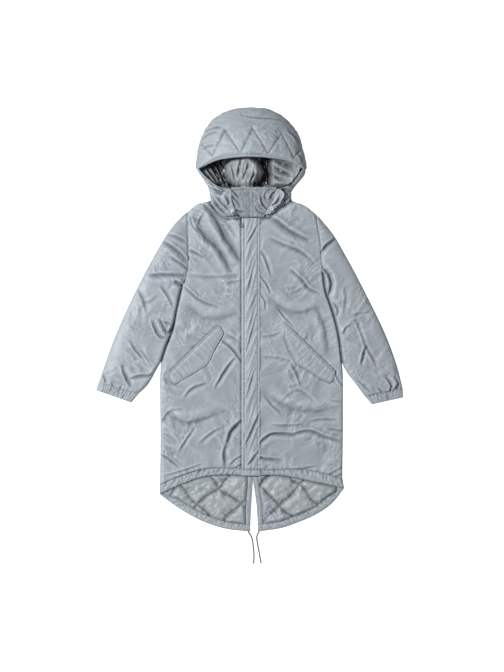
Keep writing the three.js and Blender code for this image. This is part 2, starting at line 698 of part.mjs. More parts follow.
function addTailBand(side, inner, outer) {
  const top = refined(inner, 2);
  const bottom = refined(outer, 2);
  const end = top.length - 1;
  const grid = patch({
    top,
    bottom,
    near: straight(top[0], bottom[0], 3),
    far: straight(top[end], bottom[end], 3),
  });
  const height = (x, y, u, v) => {
    const pucker = 1.5 * Math.sin(x * 0.45) * Math.sin(Math.PI * v);
    return TAIL_BAND_TOP - 3.5 + 2.4 * Math.sin(Math.PI * v) + pucker;
  };
  addPiece(`tail_channel_${side.name}`, layer(grid, height, () => SECOND_LAYER), SHELL_CLOTH);
}

function ventPoint(side, y) {
  const edge = side.ventEdge;
  const row = edge.findIndex(([, nextY], i) => i > 0 && y >= nextY);
  if (y >= edge[0][1]) return edge[0][0];
  const [a, b] = [edge[row - 1], edge[row]];
  return a[0] + ((b[0] - a[0]) * (a[1] - y)) / (a[1] - b[1]);
}

function addFacing(side, top, bottom, inwards) {
  const ys = straight(top, [bottom[0], bottom[1] + FACING_TO_BAND], 6).map(([, y]) => y);
  const slitEdge = ys.map((y) => [ventPoint(side, y) + inwards * 0.4, y]);
  const liningEdge = ys.map((y) => [ventPoint(side, y) + inwards * FACING_WIDTH, y]);
  const grid = patch({
    top: straight(slitEdge[0], liningEdge[0], 3),
    bottom: straight(slitEdge[6], liningEdge[6], 3),
    near: slitEdge,
    far: liningEdge,
  });
  addPiece(`vent_facing_${side.name}`, slab(grid, SECOND_LAYER, (x, y, u) => (
    FACING_TOP - 1.5 + 1.5 * Math.sin(Math.PI * u)
  )), SHELL_CLOTH);
}

function addTailLining(side, bandInner, facingTop, ventBottom, inwards) {
  const columns = 22;
  const rows = 9;
  const facingX = (y) => ventPoint(side, y) + inwards * (FACING_WIDTH + SEAM_GAP);
  const beside = (line, reach) => line.filter(([x, y]) => (
    inwards * x > inwards * facingX(y) + 4 && inwards * x < reach
  ));
  const reach = inwards * bandInner[1][0] - 6;
  const hem = SEAMS[side.name].hemEdge.map(([x, y]) => [x, y - 0.7]);
  const band = bandInner.map(([x, y]) => [x, y + LINING_TO_BAND]);
  const topY = facingTop[1];
  const bottomY = ventBottom[1] + LINING_TO_BAND + 1.5;
  const top = alongLine([...beside(hem, reach), [facingX(topY), topY]], columns);
  const bottom = alongLine([...beside(band, reach + 6), [facingX(bottomY), bottomY]], columns);
  const grid = patch({
    top,
    bottom,
    near: straight(top[0], bottom[0], rows),
    far: straight([0, topY], [0, bottomY], rows).map(([, y]) => [facingX(y), y]),
  });
  const height = (x, y, u, v) => {
    const first = Math.abs(Math.sin((Math.PI * (x * 0.68 + y * 0.73 + 20)) / TAIL_QUILT_PITCH));
    const second = Math.abs(Math.sin((Math.PI * (x * 0.68 - y * 0.73 + 30)) / TAIL_QUILT_PITCH));
    const puff = Math.sqrt(Math.min(1, first * 1.6) * Math.min(1, second * 1.6));
    const rim = Math.min(1, 0.35 + 8 * Math.min(u, v, 1 - u, 1 - v));
    return TAIL_LINING_TOP - TAIL_QUILT_DEPTH * (1 - puff * rim);
  };
  addPiece(`tail_lining_${side.name}`, slab(grid, SECOND_LAYER, height), LINING_CLOTH);
}

// Hood: sections of a shell that stands on its foot and rises to the face edge
function shellPoint(section, part, lift, inner) {
  const dx = section.foot[0] - section.edge[0];
  const dy = section.foot[1] - section.edge[1];
  const reach = Math.hypot(dx, dy);
  const climb = section.rise - SECOND_LAYER;
  const angle = (part * Math.PI) / 2;
  const outwards = climb * Math.sin(angle);
  const upwards = reach * Math.cos(angle);
  const length = Math.hypot(outwards, upwards);
  const shift = inner ? -section.wall : lift;
  const along = reach * Math.sin(angle) + (shift * outwards) / length;
  const height = climb * Math.cos(angle) + (shift * upwards) / length;
  return [
    section.edge[0] + (dx * along) / reach,
    section.edge[1] + (dy * along) / reach,
    SECOND_LAYER + Math.max(0, height),
  ];
}

// A wall between an outer and an inner set of columns of points
function wall(outerColumns, innerColumns) {
  const vertices = [...outerColumns.flat(), ...innerColumns.flat()];
  const outerRows = outerColumns[0].length;
  const innerRows = innerColumns[0].length;
  const innerStart = outerColumns.length * outerRows;
  const outer = (i, j) => i * outerRows + j;
  const inner = (i, j) => innerStart + i * innerRows + j;
  const last = outerColumns.length - 1;
  const triangles = [
    ...gridTriangles(last, outerRows - 1, outer, false),
    ...gridTriangles(last, innerRows - 1, inner, true),
  ];
  for (let i = 0; i < last; i += 1) {
    [[0, 0], [outerRows - 1, innerRows - 1]].forEach(([a, b]) => {
      triangles.push([outer(i, a), outer(i + 1, a), inner(i + 1, b)]);
      triangles.push([outer(i, a), inner(i + 1, b), inner(i, b)]);
    });
  }
  [0, last].forEach((i) => {
    let a = 0;
    let b = 0;
    while (a < outerRows - 1 || b < innerRows - 1) {
      const nextOuter = (a + 1) / (outerRows - 1);
      const nextInner = (b + 1) / (innerRows - 1);
      if (nextOuter <= nextInner) {
        triangles.push([outer(i, a), outer(i, a + 1), inner(i, b)]);
        a += 1;
      } else {
        triangles.push([outer(i, a), inner(i, b + 1), inner(i, b)]);
        b += 1;
      }
    }
  });
  return geometryFrom(vertices, alignedTriangles(triangles));
}

function hoodSections() {
  const edge = curveThrough(HOOD_EDGE).getSpacedPoints(HOOD_COLUMNS);
  const foot = curveThrough(HOOD_FOOT).getSpacedPoints(HOOD_COLUMNS);
  return edge.map((point, i) => {
    const swell = Math.sin((Math.PI * i) / HOOD_COLUMNS) ** 0.8;
    return {
      along: i / HOOD_COLUMNS,
      edge: [point.x, point.y],
      foot: [foot[i].x, foot[i].y],
      rise: HOOD_RISE.corner + (HOOD_RISE.crown - HOOD_RISE.corner) * swell,
      wall: HOOD_WALL.corner + (HOOD_WALL.crown - HOOD_WALL.corner) * swell,
    };
  });
}

// Where the brim ends and the crown panels begin, as a part of the way from edge to foot
function brimSeam(column) {
  const { first, last } = CROWN_COLUMNS;
  if (column < first || column > last) return 1;
  const place = (column - first + 0.35) / (last - first + 0.7);
  return 1 - (1 - BRIM_SEAM_AT_CENTRE) * Math.sin(Math.PI * place) ** 0.9;
}

function crownSplit(column) {
  const { split, last } = CROWN_COLUMNS;
  const start = brimSeam(column);
  if (column < split) return 1;
  const place = (column - split) / (last - split);
  return 1 - (1 - start) * THREE.MathUtils.lerp(0.12, 1 - CROWN_SPLIT_FRACTION, place);
}

function brimQuilt(section, part) {
  const reach = 160;
  const span = 560;
  const line = BRIM_ZIGZAG.map(({ along, depth }) => [along * span, depth * reach * 1.3]);
  const away = distanceTo(line, section.along * span, part * reach * 1.3);
  const stitched = Math.exp(-((away / QUILT_HALF_WIDTH) ** 2));
  const hemmed = softDrop(part * reach, 18);
  return QUILT_LIFT * (1 - Math.max(stitched, hemmed));
}

function hoodPanel(sections, firstColumn, lastColumn, from, to, rows, lift) {
  const outerColumns = [];
  const innerColumns = [];
  for (let i = firstColumn; i <= lastColumn; i += 1) {
    const section = sections[i];
    const [start, end] = [from(i), to(i)];
    const part = (row, count) => start + ((end - start) * row) / count;
    const outer = [];
    const inner = [];
    for (let j = 0; j <= rows; j += 1) {
      const atRim = j === 0 || j === rows;
      outer.push(shellPoint(section, part(j, rows), atRim ? 0 : lift(section, part(j, rows)), false));
    }
    for (let j = 0; j <= 3; j += 1) inner.push(shellPoint(section, part(j, 3), 0, true));
    outerColumns.push(outer);
    innerColumns.push(inner);
  }
  return wall(outerColumns, innerColumns);
}

function addHoodShell() {
  const sections = hoodSections();
  const seamPart = 0.002;
  const endOfBrim = (i) => (brimSeam(i) < 1 ? brimSeam(i) - seamPart : 1);
  const crownLift = (section, part) => 1.5 * Math.sin(Math.PI * part);
  addPiece('hood_brim', hoodPanel(sections, 0, HOOD_COLUMNS, () => 0, endOfBrim, BRIM_ROWS, brimQuilt), SHELL_CLOTH);
  const { first, split, last } = CROWN_COLUMNS;
  addPiece('hood_centre', hoodPanel(
    sections,
    first,
    last,
    brimSeam,
    (i) => crownSplit(i) - (i < split ? 0 : seamPart),
    CROWN_ROWS,
    crownLift,
  ), SHELL_CLOTH);
  addPiece('hood_crown_left', hoodPanel(
    sections,
    split,
    last,
    crownSplit,
    () => 1,
    3,
    () => 0,
  ), SHELL_CLOTH);
  return sections;
}

// Lower sides of the hood
function sideSections(name) {
  const rows = HOOD_SIDES[name];
  const steps = (rows.length - 1) * SIDE_STEPS_PER_ROW;
  const edge = curveThrough(rows.map((row) => row.edge));
  const foot = curveThrough(rows.map((row) => row.foot));
  const sections = [];
  for (let i = 0; i <= steps; i += 1) sections.push(sideSection(rows, edge, foot, i / SIDE_STEPS_PER_ROW));
  return sections;
}

function sideSection(rows, edge, foot, place) {
  const t = place / (rows.length - 1);
  const row = Math.min(rows.length - 2, Math.floor(place));
  const mix = place - row;
  const [edgePoint, footPoint] = [edge.getPoint(t), foot.getPoint(t)];
  return {
    edge: [edgePoint.x, edgePoint.y],
    foot: [footPoint.x, footPoint.y],
    rise: THREE.MathUtils.lerp(rows[row].rise, rows[row + 1].rise, mix),
    wall: THREE.MathUtils.lerp(rows[row].wall, rows[row + 1].wall, mix),
  };
}

function addHoodSide(name) {
  const sections = sideSections(name);
  const last = sections.length - 1;
  const ripple = (section, part) => 1.2 * Math.sin(Math.PI * part);
  addPiece(`hood_side_${name}`, hoodPanel(sections, 0, last, () => 0, () => 1, 6, ripple), SHELL_CLOTH);
  return sections;
}

function addEyelet(name) {
  const rows = HOOD_SIDES[name];
  const edge = curveThrough(rows.map((row) => row.edge));
  const foot = curveThrough(rows.map((row) => row.foot));
  const { row, across } = EYELET_PLACES[name];
  const small = 0.02;
  const at = (r, a) => new THREE.Vector3(...shellPoint(sideSection(rows, edge, foot, r), a, 1.2 * Math.sin(Math.PI * a), false));
  const centre = at(row, across);
  const alongRow = at(row + small, across).sub(at(row - small, across));
  const acrossRow = at(row, across + small).sub(at(row, across - small));
  const normal = alongRow.cross(acrossRow).normalize();
  if (normal.z < 0) normal.negate();
  const half = EYELET.thickness / 2;
  const profile = [
    [EYELET.inner, -half], [EYELET.outer, -half], [EYELET.outer, half * 0.4],
    [EYELET.outer - 0.8, half], [EYELET.inner + 0.5, half], [EYELET.inner, half * 0.4], [EYELET.inner, -half],
  ].map(([x, y]) => new THREE.Vector2(x, y));
  const geometry = new THREE.LatheGeometry(profile, 12);
  const turn = new THREE.Quaternion().setFromUnitVectors(new THREE.Vector3(0, 1, 0), normal);
  geometry.applyQuaternion(turn);
  const place = centre.addScaledVector(normal, EYELET.lift + half);
  geometry.translate(place.x, place.y, place.z);
  addPiece(`eyelet_${name}`, geometry, EYELET_METAL);
}

// Back of the hood, lying on the surface under the shell
function addHoodBack(shellSections, sides) {
  const toNeck = (sections) => sections.slice(1, 2 * COLLAR_FROM_ROW + 2).map((section) => section.foot);
  const rightSide = toNeck(sides.right).reverse();
  const leftSide = toNeck(sides.left);
  const neck = sampled(BACK_NECK, 8).slice(1, -1).reverse();
  const outline = [
    ...rightSide.slice(1),
    ...shellSections.map((section) => section.foot),
    ...leftSide.slice(0, -1),
    [130.5, 380],
    ...neck,
    [-128.5, 380],
  ];
  addPiece('hood_back', ringed(inset(outline, SEAM_GAP / 2), [
    { inward: BACK_EDGE_INSET, z: 0 },
    { inward: 0, z: BACK_THICKNESS },
  ]), SHELL_CLOTH);
}

// Lining seen through the face opening
function addHoodLining(shellSections, sides) {
  const rise = 2 * COLLAR_FROM_ROW;
  const pulledIn = ([x, y], centreX, amount) => [x - Math.sign(x - centreX) * amount, y];
  const lowerEdge = (sections) => sections.slice(1, rise + 1).map(({ edge }) => [edge[0], edge[1] + 2.5]);
  const nearLine = [[-58, LINING.bottom], ...lowerEdge(sides.right).reverse()].map((p) => pulledIn(p, 3, 3));
  const farLine = [[78, LINING.bottom], ...lowerEdge(sides.left).reverse()].map((p) => pulledIn(p, 3, 3));
  const foot = inset(shellSections.map((section) => section.foot), LINING.footInset)
    .slice(2, -2);
  const arch = [nearLine[nearLine.length - 1], ...foot, farLine[farLine.length - 1]];
  const columns = 18;
  const rows = 11;
  const top = sampled(arch.filter((_, i) => i % 2 === 0 || i === arch.length - 1), columns);
  const near = sampled(nearLine, rows).reverse();
  const far = sampled(farLine, rows).reverse();
  const grid = patch({
    top,
    bottom: straight(near[rows], far[rows], columns),
    near,
    far,
  }, 0);
  const edges = [sides.right, sides.left].map((sections) => sections.slice(0, rise + 1).map(({ edge }) => edge));
  const height = (x, y) => {
    const bulge = ((x - LINING_BULGE.x) / LINING_BULGE.halfWidth) ** 2
      + ((y - LINING_BULGE.y) / LINING_BULGE.halfLength) ** 2;
    const away = Math.min(...edges.map((line) => distanceTo(line, x, y))) / LINING.climbWidth;
    const clear = THREE.MathUtils.smoothstep(y, LINING.clearOfCollar, LINING.clearOfCollar + 22);
    return LINING.rise + LINING_BULGE.height * Math.exp(-bulge)
      + LINING.edgeClimb * Math.exp(-away * away) * clear;
  };
  const under = (x, y) => Math.max(SECOND_LAYER, height(x, y) - LINING.wall);
  addPiece('hood_lining', layer(grid, height, under), LINING_CLOTH);
}

// Stand collar in two halves, the left one with the end of the storm flap
function addCollar(name, sections) {
  const from = COLLAR_FROM_ROW * SIDE_STEPS_PER_ROW;
  const sideEdge = sections.slice(from).map(({ edge }) => edge);
  const outwards = name === 'right' ? -1 : 1;
  const topCorner = [sideEdge[0][0] - outwards * 0.5, COLLAR.topEdge];
  const end = sideEdge[sideEdge.length - 1];
  const bottomCorner = [end[0] - outwards * 2, NECKLINE_Y];
  const near = [topCorner, ...sideEdge.map(([x, y]) => [x - outwards * 0.5, y]), bottomCorner];
  const centre = COLLAR.overlapEdge;
  const steps = near.length - 1;
  const columns = 6;
  const grid = patch({
    top: straight(topCorner, [centre, COLLAR.topEdge], columns),
    bottom: straight(bottomCorner, [centre, NECKLINE_Y], columns),
    near,
    far: straight([centre, COLLAR.topEdge], [centre, NECKLINE_Y], steps),
  });
  const slope = (COLLAR.topRise - COLLAR.bottomRise) / (COLLAR.topEdge - NECKLINE_Y);
  const base = (y) => COLLAR.bottomRise + slope * (y - NECKLINE_Y);
  const height = (x, y) => {
    const onBand = name === 'left' && x < COLLAR.bandEnd;
    return base(y) + (onBand ? COLLAR_BAND_LIFT : 0);
  };
  addPiece(`collar_${name}`, layer(grid, height, (x, y) => base(y) - COLLAR.wall), SHELL_CLOTH);
}

// Cords: a round tube along a route
function addCord(name, route, radius, steps) {
  const path = new THREE.CatmullRomCurve3(route.map((p) => new THREE.Vector3(...p)), false, 'centripetal');
  const section = new THREE.Shape();
  for (let i = 0; i < CORD_SIDES; i += 1) {
    const angle = (2 * Math.PI * i) / CORD_SIDES;
    const point = [radius * Math.cos(angle), radius * Math.sin(angle)];
    if (i === 0) section.moveTo(...point);
    else section.lineTo(...point);
  }
  section.closePath();
  addPiece(name, new THREE.ExtrudeGeometry(section, { steps, bevelEnabled: false, extrudePath: path }), CORD);
}

[RIGHT, LEFT].forEach((side) => {
  addBack(side);
  addFront(side);
  addFrontHem(side);
  addFlap(side);
  addSleeve(side);
  addTail(side);
});
addPlacket();
const shellSections = addHoodShell();
const sides = { right: addHoodSide('right'), left: addHoodSide('left') };
addHoodBack(shellSections, sides);
addHoodLining(shellSections, sides);
['right', 'left'].forEach((name) => {
  addCollar(name, sides[name]);
  addEyelet(name);
  addCord(`tail_cord_${name}`, TAIL_CORD_ROUTES[name], TAIL_CORD_RADIUS, 14);
});
addCord('hood_cord', HOOD_CORD_ROUTE, HOOD_CORD_RADIUS, 22);

export default coat;
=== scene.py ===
import math

import bpy
import numpy as np
from bpy.props import FloatProperty, FloatVectorProperty, PointerProperty
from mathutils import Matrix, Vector


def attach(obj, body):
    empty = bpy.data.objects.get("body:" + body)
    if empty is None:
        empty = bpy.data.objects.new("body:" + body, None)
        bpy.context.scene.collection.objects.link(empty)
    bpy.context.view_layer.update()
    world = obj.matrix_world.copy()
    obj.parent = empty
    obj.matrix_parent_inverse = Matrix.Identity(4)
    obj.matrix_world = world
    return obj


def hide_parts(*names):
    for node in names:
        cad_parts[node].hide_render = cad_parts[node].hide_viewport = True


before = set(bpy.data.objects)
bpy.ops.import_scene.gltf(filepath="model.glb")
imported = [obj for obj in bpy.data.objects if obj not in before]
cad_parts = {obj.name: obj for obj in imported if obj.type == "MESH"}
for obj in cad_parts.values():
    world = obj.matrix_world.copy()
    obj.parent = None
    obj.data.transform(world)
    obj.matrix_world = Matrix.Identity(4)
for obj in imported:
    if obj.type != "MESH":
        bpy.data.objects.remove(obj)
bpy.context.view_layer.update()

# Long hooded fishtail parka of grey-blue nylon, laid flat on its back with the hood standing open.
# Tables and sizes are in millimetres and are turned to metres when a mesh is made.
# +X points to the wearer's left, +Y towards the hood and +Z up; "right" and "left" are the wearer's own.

bl_info = {
    "name": "Fishtail parka",
    "version": (1, 0, 0),
    "blender": (4, 5, 0),
    "location": "View3D > Sidebar > Coat",
    "description": "Builds the cloth, cords, stitching and finish of a hooded fishtail parka laid flat",
    "category": "Add Mesh",
}

MM = 0.001

# Heights of the layers of cloth
SEAM_GAP = 0.3
BACK_THICKNESS = 6.0
SECOND_LAYER = BACK_THICKNESS + SEAM_GAP
FRONT_TOP = 18.0
SLEEVE_TOP = 25.0
THINNEST_WALL = 2.5

# Widths of the bands and edges
PLACKET = {
    "free_edge": -28.5, "sewn_edge": 31.0, "top": 323.0, "bottom": -501.0, "hem_line": -481.0,
    "thickness": 3.2,
}
FLAP_THICKNESS = 3.4
HEM_BAND_WIDTH = 24.0
CUFF_LENGTH = 28.0
TAIL_BAND_WIDTH = 21.0
FACING_WIDTH = 16.0
TAIL_QUILT_PITCH = 88.0
CENTRE_BACK = {"x": 7.0, "neck": 352.0, "vent_top": -511.0}

# Seams and free edges of one side, each a row of [x, y] points along the cloth
RIGHT = {
    "name": "right",
    "neckline": [[-129, 379], [-114, 350], [-100, 335], [-82, 326], [-50, 325], [0, 325]],
    "shoulder": [[-129, 379], [-172, 368], [-204, 342]],
    "armhole": [[-204, 342], [-203, 291], [-201, 230], [-200, 182], [-206, 138], [-220, 106]],
    "underarm": [[-220, 106], [-235, 38], [-250, -35], [-269, -83], [-286, -134]],
    "side": [[-286, -134], [-290, -180], [-290, -285], [-289, -387], [-291, -530]],
    "hem_seam": [[-291, -530], [-213, -497], [-153, -480], [-73, -476], [0, -481]],
    "hem_edge": [[-290, -560], [-209, -525], [-153, -506], [-73, -499], [0, -503]],
    "sleeve_outer": [
        [-220, 330], [-255, 291], [-303, 214], [-364, 99], [-434, -54], [-469, -150], [-487, -203],
    ],
    "sleeve_inner": [[-286, -134], [-300, -157], [-329, -208], [-359, -238]],
    "cuff_end": [[-383, -266], [-495, -227]],
    "tail_side": [[-291, -530], [-290, -561]],
    "tail_edge": [[-290, -561], [-249, -592], [-188, -630], [-146, -650], [-82, -670], [-3, -679.5]],
    "vent_edge": [[7, -512], [4, -554], [1, -600], [-3, -679.5]],
}
LEFT = {
    "name": "left",
    "neckline": [[131, 379], [113, 368], [81, 345], [66, 333], [49, 326], [0, 325]],
    "shoulder": [[131, 379], [172, 364], [206, 338]],
    "armhole": [[206, 338], [215, 291], [222, 250], [225, 205], [228, 173], [231, 147]],
    "underarm": [[231, 147], [238, 93], [260, 29], [279, -45], [292, -138]],
    "side": [[292, -138], [295, -185], [295, -270], [295, -355], [293, -511]],
    "hem_seam": [[293, -511], [209, -487], [139, -480], [68, -482], [0, -481]],
    "hem_edge": [[298, -541], [209, -523], [115, -504], [40, -500], [0, -503]],
    "sleeve_outer": [[222, 322], [263, 272], [308, 195], [359, 99], [433, -54], [468, -150], [486, -221]],
    "sleeve_inner": [[292, -138], [308, -170], [337, -208], [364, -245]],
    "cuff_end": [[388, -272], [487, -250]],
    "tail_side": [[293, -511], [298, -542]],
    "tail_edge": [[298, -542], [257, -592], [199, -630], [151, -650], [103, -667], [24, -679.5]],
    "vent_edge": [[7, -512], [13, -554], [19, -600], [24, -679.5]],
}
SIDES = (RIGHT, LEFT)
BACK_NECK = [[-129, 379], [-60, 358], [3, 352], [66, 358], [131, 379]]

# Creases of the cloth: the places each runs through, its half width and its depth
FRONT_CREASES = {
    "right": {
        "chest_fall": ([(-128, 352), (-100, 305), (-70, 246), (-30, 186)], 24, 12.0),
        "shoulder_fall": ([(-178, 322), (-150, 272), (-104, 226), (-60, 150)], 20, 8.5),
        "waist_fall": ([(-206, 46), (-150, 4), (-92, 0), (-36, 20)], 26, 4.0),
        "skirt_fall": ([(-286, -292), (-220, -330), (-150, -322), (-84, -296)], 28, 4.5),
        "chest_upper": ([(-111, 336), (-85, 317), (-47, 259)], 12, 3.0),
        "armpit_line": ([(-213, 106), (-163, 62), (-103, 38)], 6, 4.0),
        "arm_short": ([(-194, 222), (-146, 195)], 7, 4.0),
        "mid_across": ([(-201, 142), (-124, 134), (-31, 141)], 9, 1.8),
        "mid_across_low": ([(-82, 115), (-28, 122)], 7, 2.0),
        "pull_to_zip": ([(-92, -70), (-60, -96), (-25, -141)], 7, 5.0),
        "pull_upper": ([(-76, -48), (-31, -77)], 8, 2.5),
        "below_flap": ([(-47, -122), (-76, -157), (-114, -221)], 7, 4.5),
        "flap_shadow": ([(-143, -206), (-187, -224), (-212, -253)], 8, 3.5),
        "hem_deep": ([(-25, -323), (-63, -358), (-76, -400)], 9, 8.0),
        "hem_band": ([(-76, -400), (-84, -426), (-82, -474)], 9, 5.0),
        "low_slant": ([(-178, -346), (-204, -384), (-229, -426)], 6, 3.0),
        "low_slant_2": ([(-85, -346), (-124, -365), (-162, -397)], 7, 3.0),
        "side_low": ([(-293, -430), (-265, -445), (-229, -474)], 5, 4.5),
        "side_mid": ([(-293, -346), (-258, -298), (-213, -288)], 9, 2.2),
        "hem_fan_1": ([(-25, -435), (-47, -448), (-69, -470)], 5, 3.0),
        "hem_fan_2": ([(-25, -461), (-50, -477)], 5, 3.0),
        "hem_side": ([(-274, -502), (-210, -483), (-153, -464)], 6, 3.0),
        "collar_shade": ([(-146, 342), (-165, 310), (-153, 291)], 7, 2.5),
        "shoulder_v": ([(-194, 330), (-185, 298), (-172, 282)], 5, 2.0),
        "under_neck": ([(-152, 368), (-130, 348), (-100, 327), (-64, 317)], 8, 9.0),
    },
    "left": {
        "chest_line": ([(55, 333), (91, 309), (124, 283), (187, 251)], 12, 7.0),
        "waist_wave": ([(60, 66), (118, 24), (176, 22), (224, 40)], 26, 4.0),
        "low_wave": ([(44, -236), (120, -284), (204, -296), (290, -280)], 28, 4.5),
        "side_wave": ([(210, 40), (236, -20), (250, -110)], 20, 3.5),
        "chest_second": ([(62, 259), (116, 234), (158, 218), (203, 179)], 9, 3.4),
        "armpit_pull": ([(129, 157), (161, 130), (187, 99), (225, 80)], 7, 4.5),
        "zip_pull_1": ([(33, 218), (49, 186), (65, 138)], 6, 3.0),
        "zip_pull_2": ([(33, 134), (49, 112), (65, 80)], 5, 3.5),
        "zip_pull_3": ([(30, 83), (46, 54), (46, 29)], 5, 2.4),
        "flap_head": ([(84, 35), (113, 0), (142, -32)], 5, 2.4),
        "across_flap": ([(33, -56), (65, -54), (100, -42)], 8, 2.0),
        "across_low": ([(36, -122), (78, -123), (129, -134)], 8, 2.0),
        "under_flap": ([(126, -138), (145, -170), (161, -211)], 7, 3.0),
        "hem_long_1": ([(20, -413), (36, -390), (68, -368), (145, -370)], 8, 6.5),
        "hem_long_2": ([(126, -371), (190, -358), (231, -374), (299, -394)], 8, 5.5),
        "hem_upper": ([(71, -339), (119, -341), (171, -336)], 6, 2.8),
        "hem_upper_2": ([(190, -326), (235, -320), (279, -322)], 6, 2.8),
        "side_step": ([(247, -349), (299, -358)], 5, 2.5),
        "hem_pocket": ([(-2, -480), (23, -445), (55, -448), (97, -451)], 8, 5.0),
        "hem_line": ([(126, -483), (167, -477), (215, -469)], 5, 4.0),
        "slant_low": ([(43, -246), (68, -275), (100, -307)], 7, 2.2),
        "arc_low": ([(94, -272), (123, -243), (151, -227), (183, -246), (209, -272)], 9, 1.6),
        "side_short": ([(254, -259), (302, -266)], 6, 2.0),
        "corner_hem_1": ([(215, -522), (254, -496), (302, -470)], 5, 3.2),
        "corner_hem_2": ([(257, -509), (302, -493)], 5, 2.6),
        "neck_fan_1": ([(43, 320), (20, 298), (-5, 288)], 6, 2.0),
        "side_flap": ([(263, -157), (279, -192), (302, -221)], 6, 2.6),
    },
}
SLEEVE_CREASES = {
    "right": {
        "cap_1": ([(-271, 272), (-236, 262), (-197, 243)], 8, 4.0),
        "cap_2": ([(-287, 253), (-242, 224), (-197, 182)], 9, 7.0),
        "cap_3": ([(-252, 198), (-226, 179), (-197, 157)], 7, 6.0),
        "elbow_cross": ([(-322, 139), (-271, 141), (-204, 141)], 10, 6.0),
        "armpit_deep": ([(-242, 122), (-217, 109)], 9, 9.0),
        "inner_long": ([(-287, 106), (-265, 74), (-245, 35)], 8, 3.4),
        "outer_long": ([(-364, 99), (-345, 67), (-332, 19)], 9, 2.6),
        "gather_1": ([(-290, 0), (-277, -26), (-265, -45), (-245, -10)], 6, 8.0),
        "gather_2": ([(-316, -3), (-303, -38), (-284, -61), (-252, -58)], 7, 5.5),
        "gather_3": ([(-281, -6), (-242, -19)], 6, 5.0),
        "fore_1": ([(-386, -70), (-367, -102), (-335, -134)], 7, 3.4),
        "fore_2": ([(-357, -96), (-338, -118), (-322, -138)], 6, 2.8),
        "cuff_long": ([(-412, -144), (-402, -179), (-380, -221)], 8, 5.5),
        "cuff_side": ([(-386, -192), (-354, -182), (-319, -179), (-297, -157)], 8, 5.5),
        "cuff_fan_1": ([(-473, -176), (-463, -205)], 5, 3.0),
        "cuff_fan_2": ([(-444, -205), (-437, -227)], 5, 3.0),
        "cuff_fan_3": ([(-415, -211), (-421, -237)], 5, 3.0),
        "elbow_faint": ([(-367, 61), (-329, 51), (-297, 74)], 9, 1.6),
    },
    "left": {
        "cap_slant": ([(222, 208), (241, 234), (273, 259)], 8, 6.0),
        "cap_pocket": ([(222, 176), (251, 138), (257, 106), (244, 61)], 9, 6.5),
        "inner_short": ([(257, 61), (279, 29), (273, 3)], 7, 3.0),
        "elbow_short": ([(295, -48), (305, -29), (324, -16)], 6, 3.4),
        "elbow_faint": ([(327, 13), (356, 19), (391, 26)], 6, 1.8),
        "elbow_angle": ([(334, 0), (353, -45), (369, -90), (388, -122), (404, -157)], 6, 3.2),
        "elbow_fork": ([(369, -86), (359, -118), (353, -147)], 6, 5.0),
        "cuff_fold_1": ([(433, -186), (449, -214), (439, -246)], 6, 5.0),
        "cuff_fold_2": ([(459, -182), (471, -205), (452, -234)], 6, 4.5),
        "cuff_fold_3": ([(407, -221), (423, -237)], 5, 3.0),
        "inner_cuff": ([(324, -182), (356, -208), (385, -234)], 7, 2.6),
        "mid_long": ([(302, 106), (305, 61), (299, 22)], 9, 1.8),
    },
}

# Pocket flaps: the sewn top edge, both short ends and the free lower edge
FLAPS = {
    "right": {
        "top": [[-260, -166], [-185, -93], [-110, -21]],
        "far": [[-110, -21], [-98, -24], [-90, -34], [-86, -48]],
        "bottom": [
            [-256, -202], [-242, -208], [-200, -184], [-159, -159], [-137, -142], [-114, -96], [-86, -48],
        ],
        "near": [[-260, -166], [-264, -178], [-263, -190], [-256, -202]],
    },
    "left": {
        "top": [[112, -12], [190, -87], [272, -167]],
        "far": [[272, -167], [268, -184], [262, -198], [252, -204]],
        "bottom": [
            [106, -60], [122, -101], [138, -130], [146, -144],
            [165, -155], [198, -175], [226, -193], [252, -204],
        ],
        "near": [[112, -12], [106, -26], [104, -42], [106, -60]],
    },
}

# Hood shell, sections along the face opening from the wearer's right to the left
HOOD_EDGE = [[-166, 479], [-109, 503], [-68, 510], [3, 514], [65, 510], [117, 502], [167, 479]]
HOOD_FOOT = [
    [-175, 485], [-172, 522], [-165, 560], [-149, 598], [-121, 637], [-69, 669],
    [3, 678], [65, 669], [116, 637], [148, 598], [161, 560], [171, 522], [177, 484],
]
HOOD_RISE = {"corner": 46.0, "crown": 104.0}
HOOD_WALL = {"corner": 6.0, "crown": 9.0}
HOOD_SPAN = 560.0
HOOD_REACH = 208.0
CROWN_PLACES = {"first": 0.291, "split": 0.525, "last": 0.809}
BRIM_SEAM_AT_CENTRE = 0.56
# Zigzag stitch line of the brim, seen from above
BRIM_ZIGZAG = [
    [-157, 557], [-123, 519], [-81, 598], [-32, 526], [7, 605], [56, 524], [99, 589], [137, 513], [163, 545],
]
# Lower sides of the hood: face edge, foot, height of the edge and wall, from corner to neckline
HOOD_SIDES = {
    "right": [
        ([-166, 479], [-175, 484], 46, 6), ([-140, 451], [-162, 462], 44, 7),
        ([-108, 426], [-146, 442], 43, 8), ([-82, 418], [-137, 424], 42, 8),
        ([-63, 413], [-130, 402], 42, 8), ([-60, 381], [-128, 381], 34, 8),
        ([-52, 356], [-113, 353], 27, 7), ([-40, 333], [-85, 329.5], 22, 6),
    ],
    "left": [
        ([167, 479], [177, 483], 46, 6), ([148, 454], [171, 461], 44, 7),
        ([126, 430], [157, 443], 43, 8), ([103, 420], [141, 425], 42, 8),
        ([83, 413], [127, 403], 42, 8), ([73, 384], [127, 381], 34, 8),
        ([57, 356], [96, 358.5], 27, 7), ([44, 334], [68, 337.5], 22, 6),
    ],
}
HOOD_SIDE_LENGTH = 230.0
HOOD_SIDE_REACH = 80.0
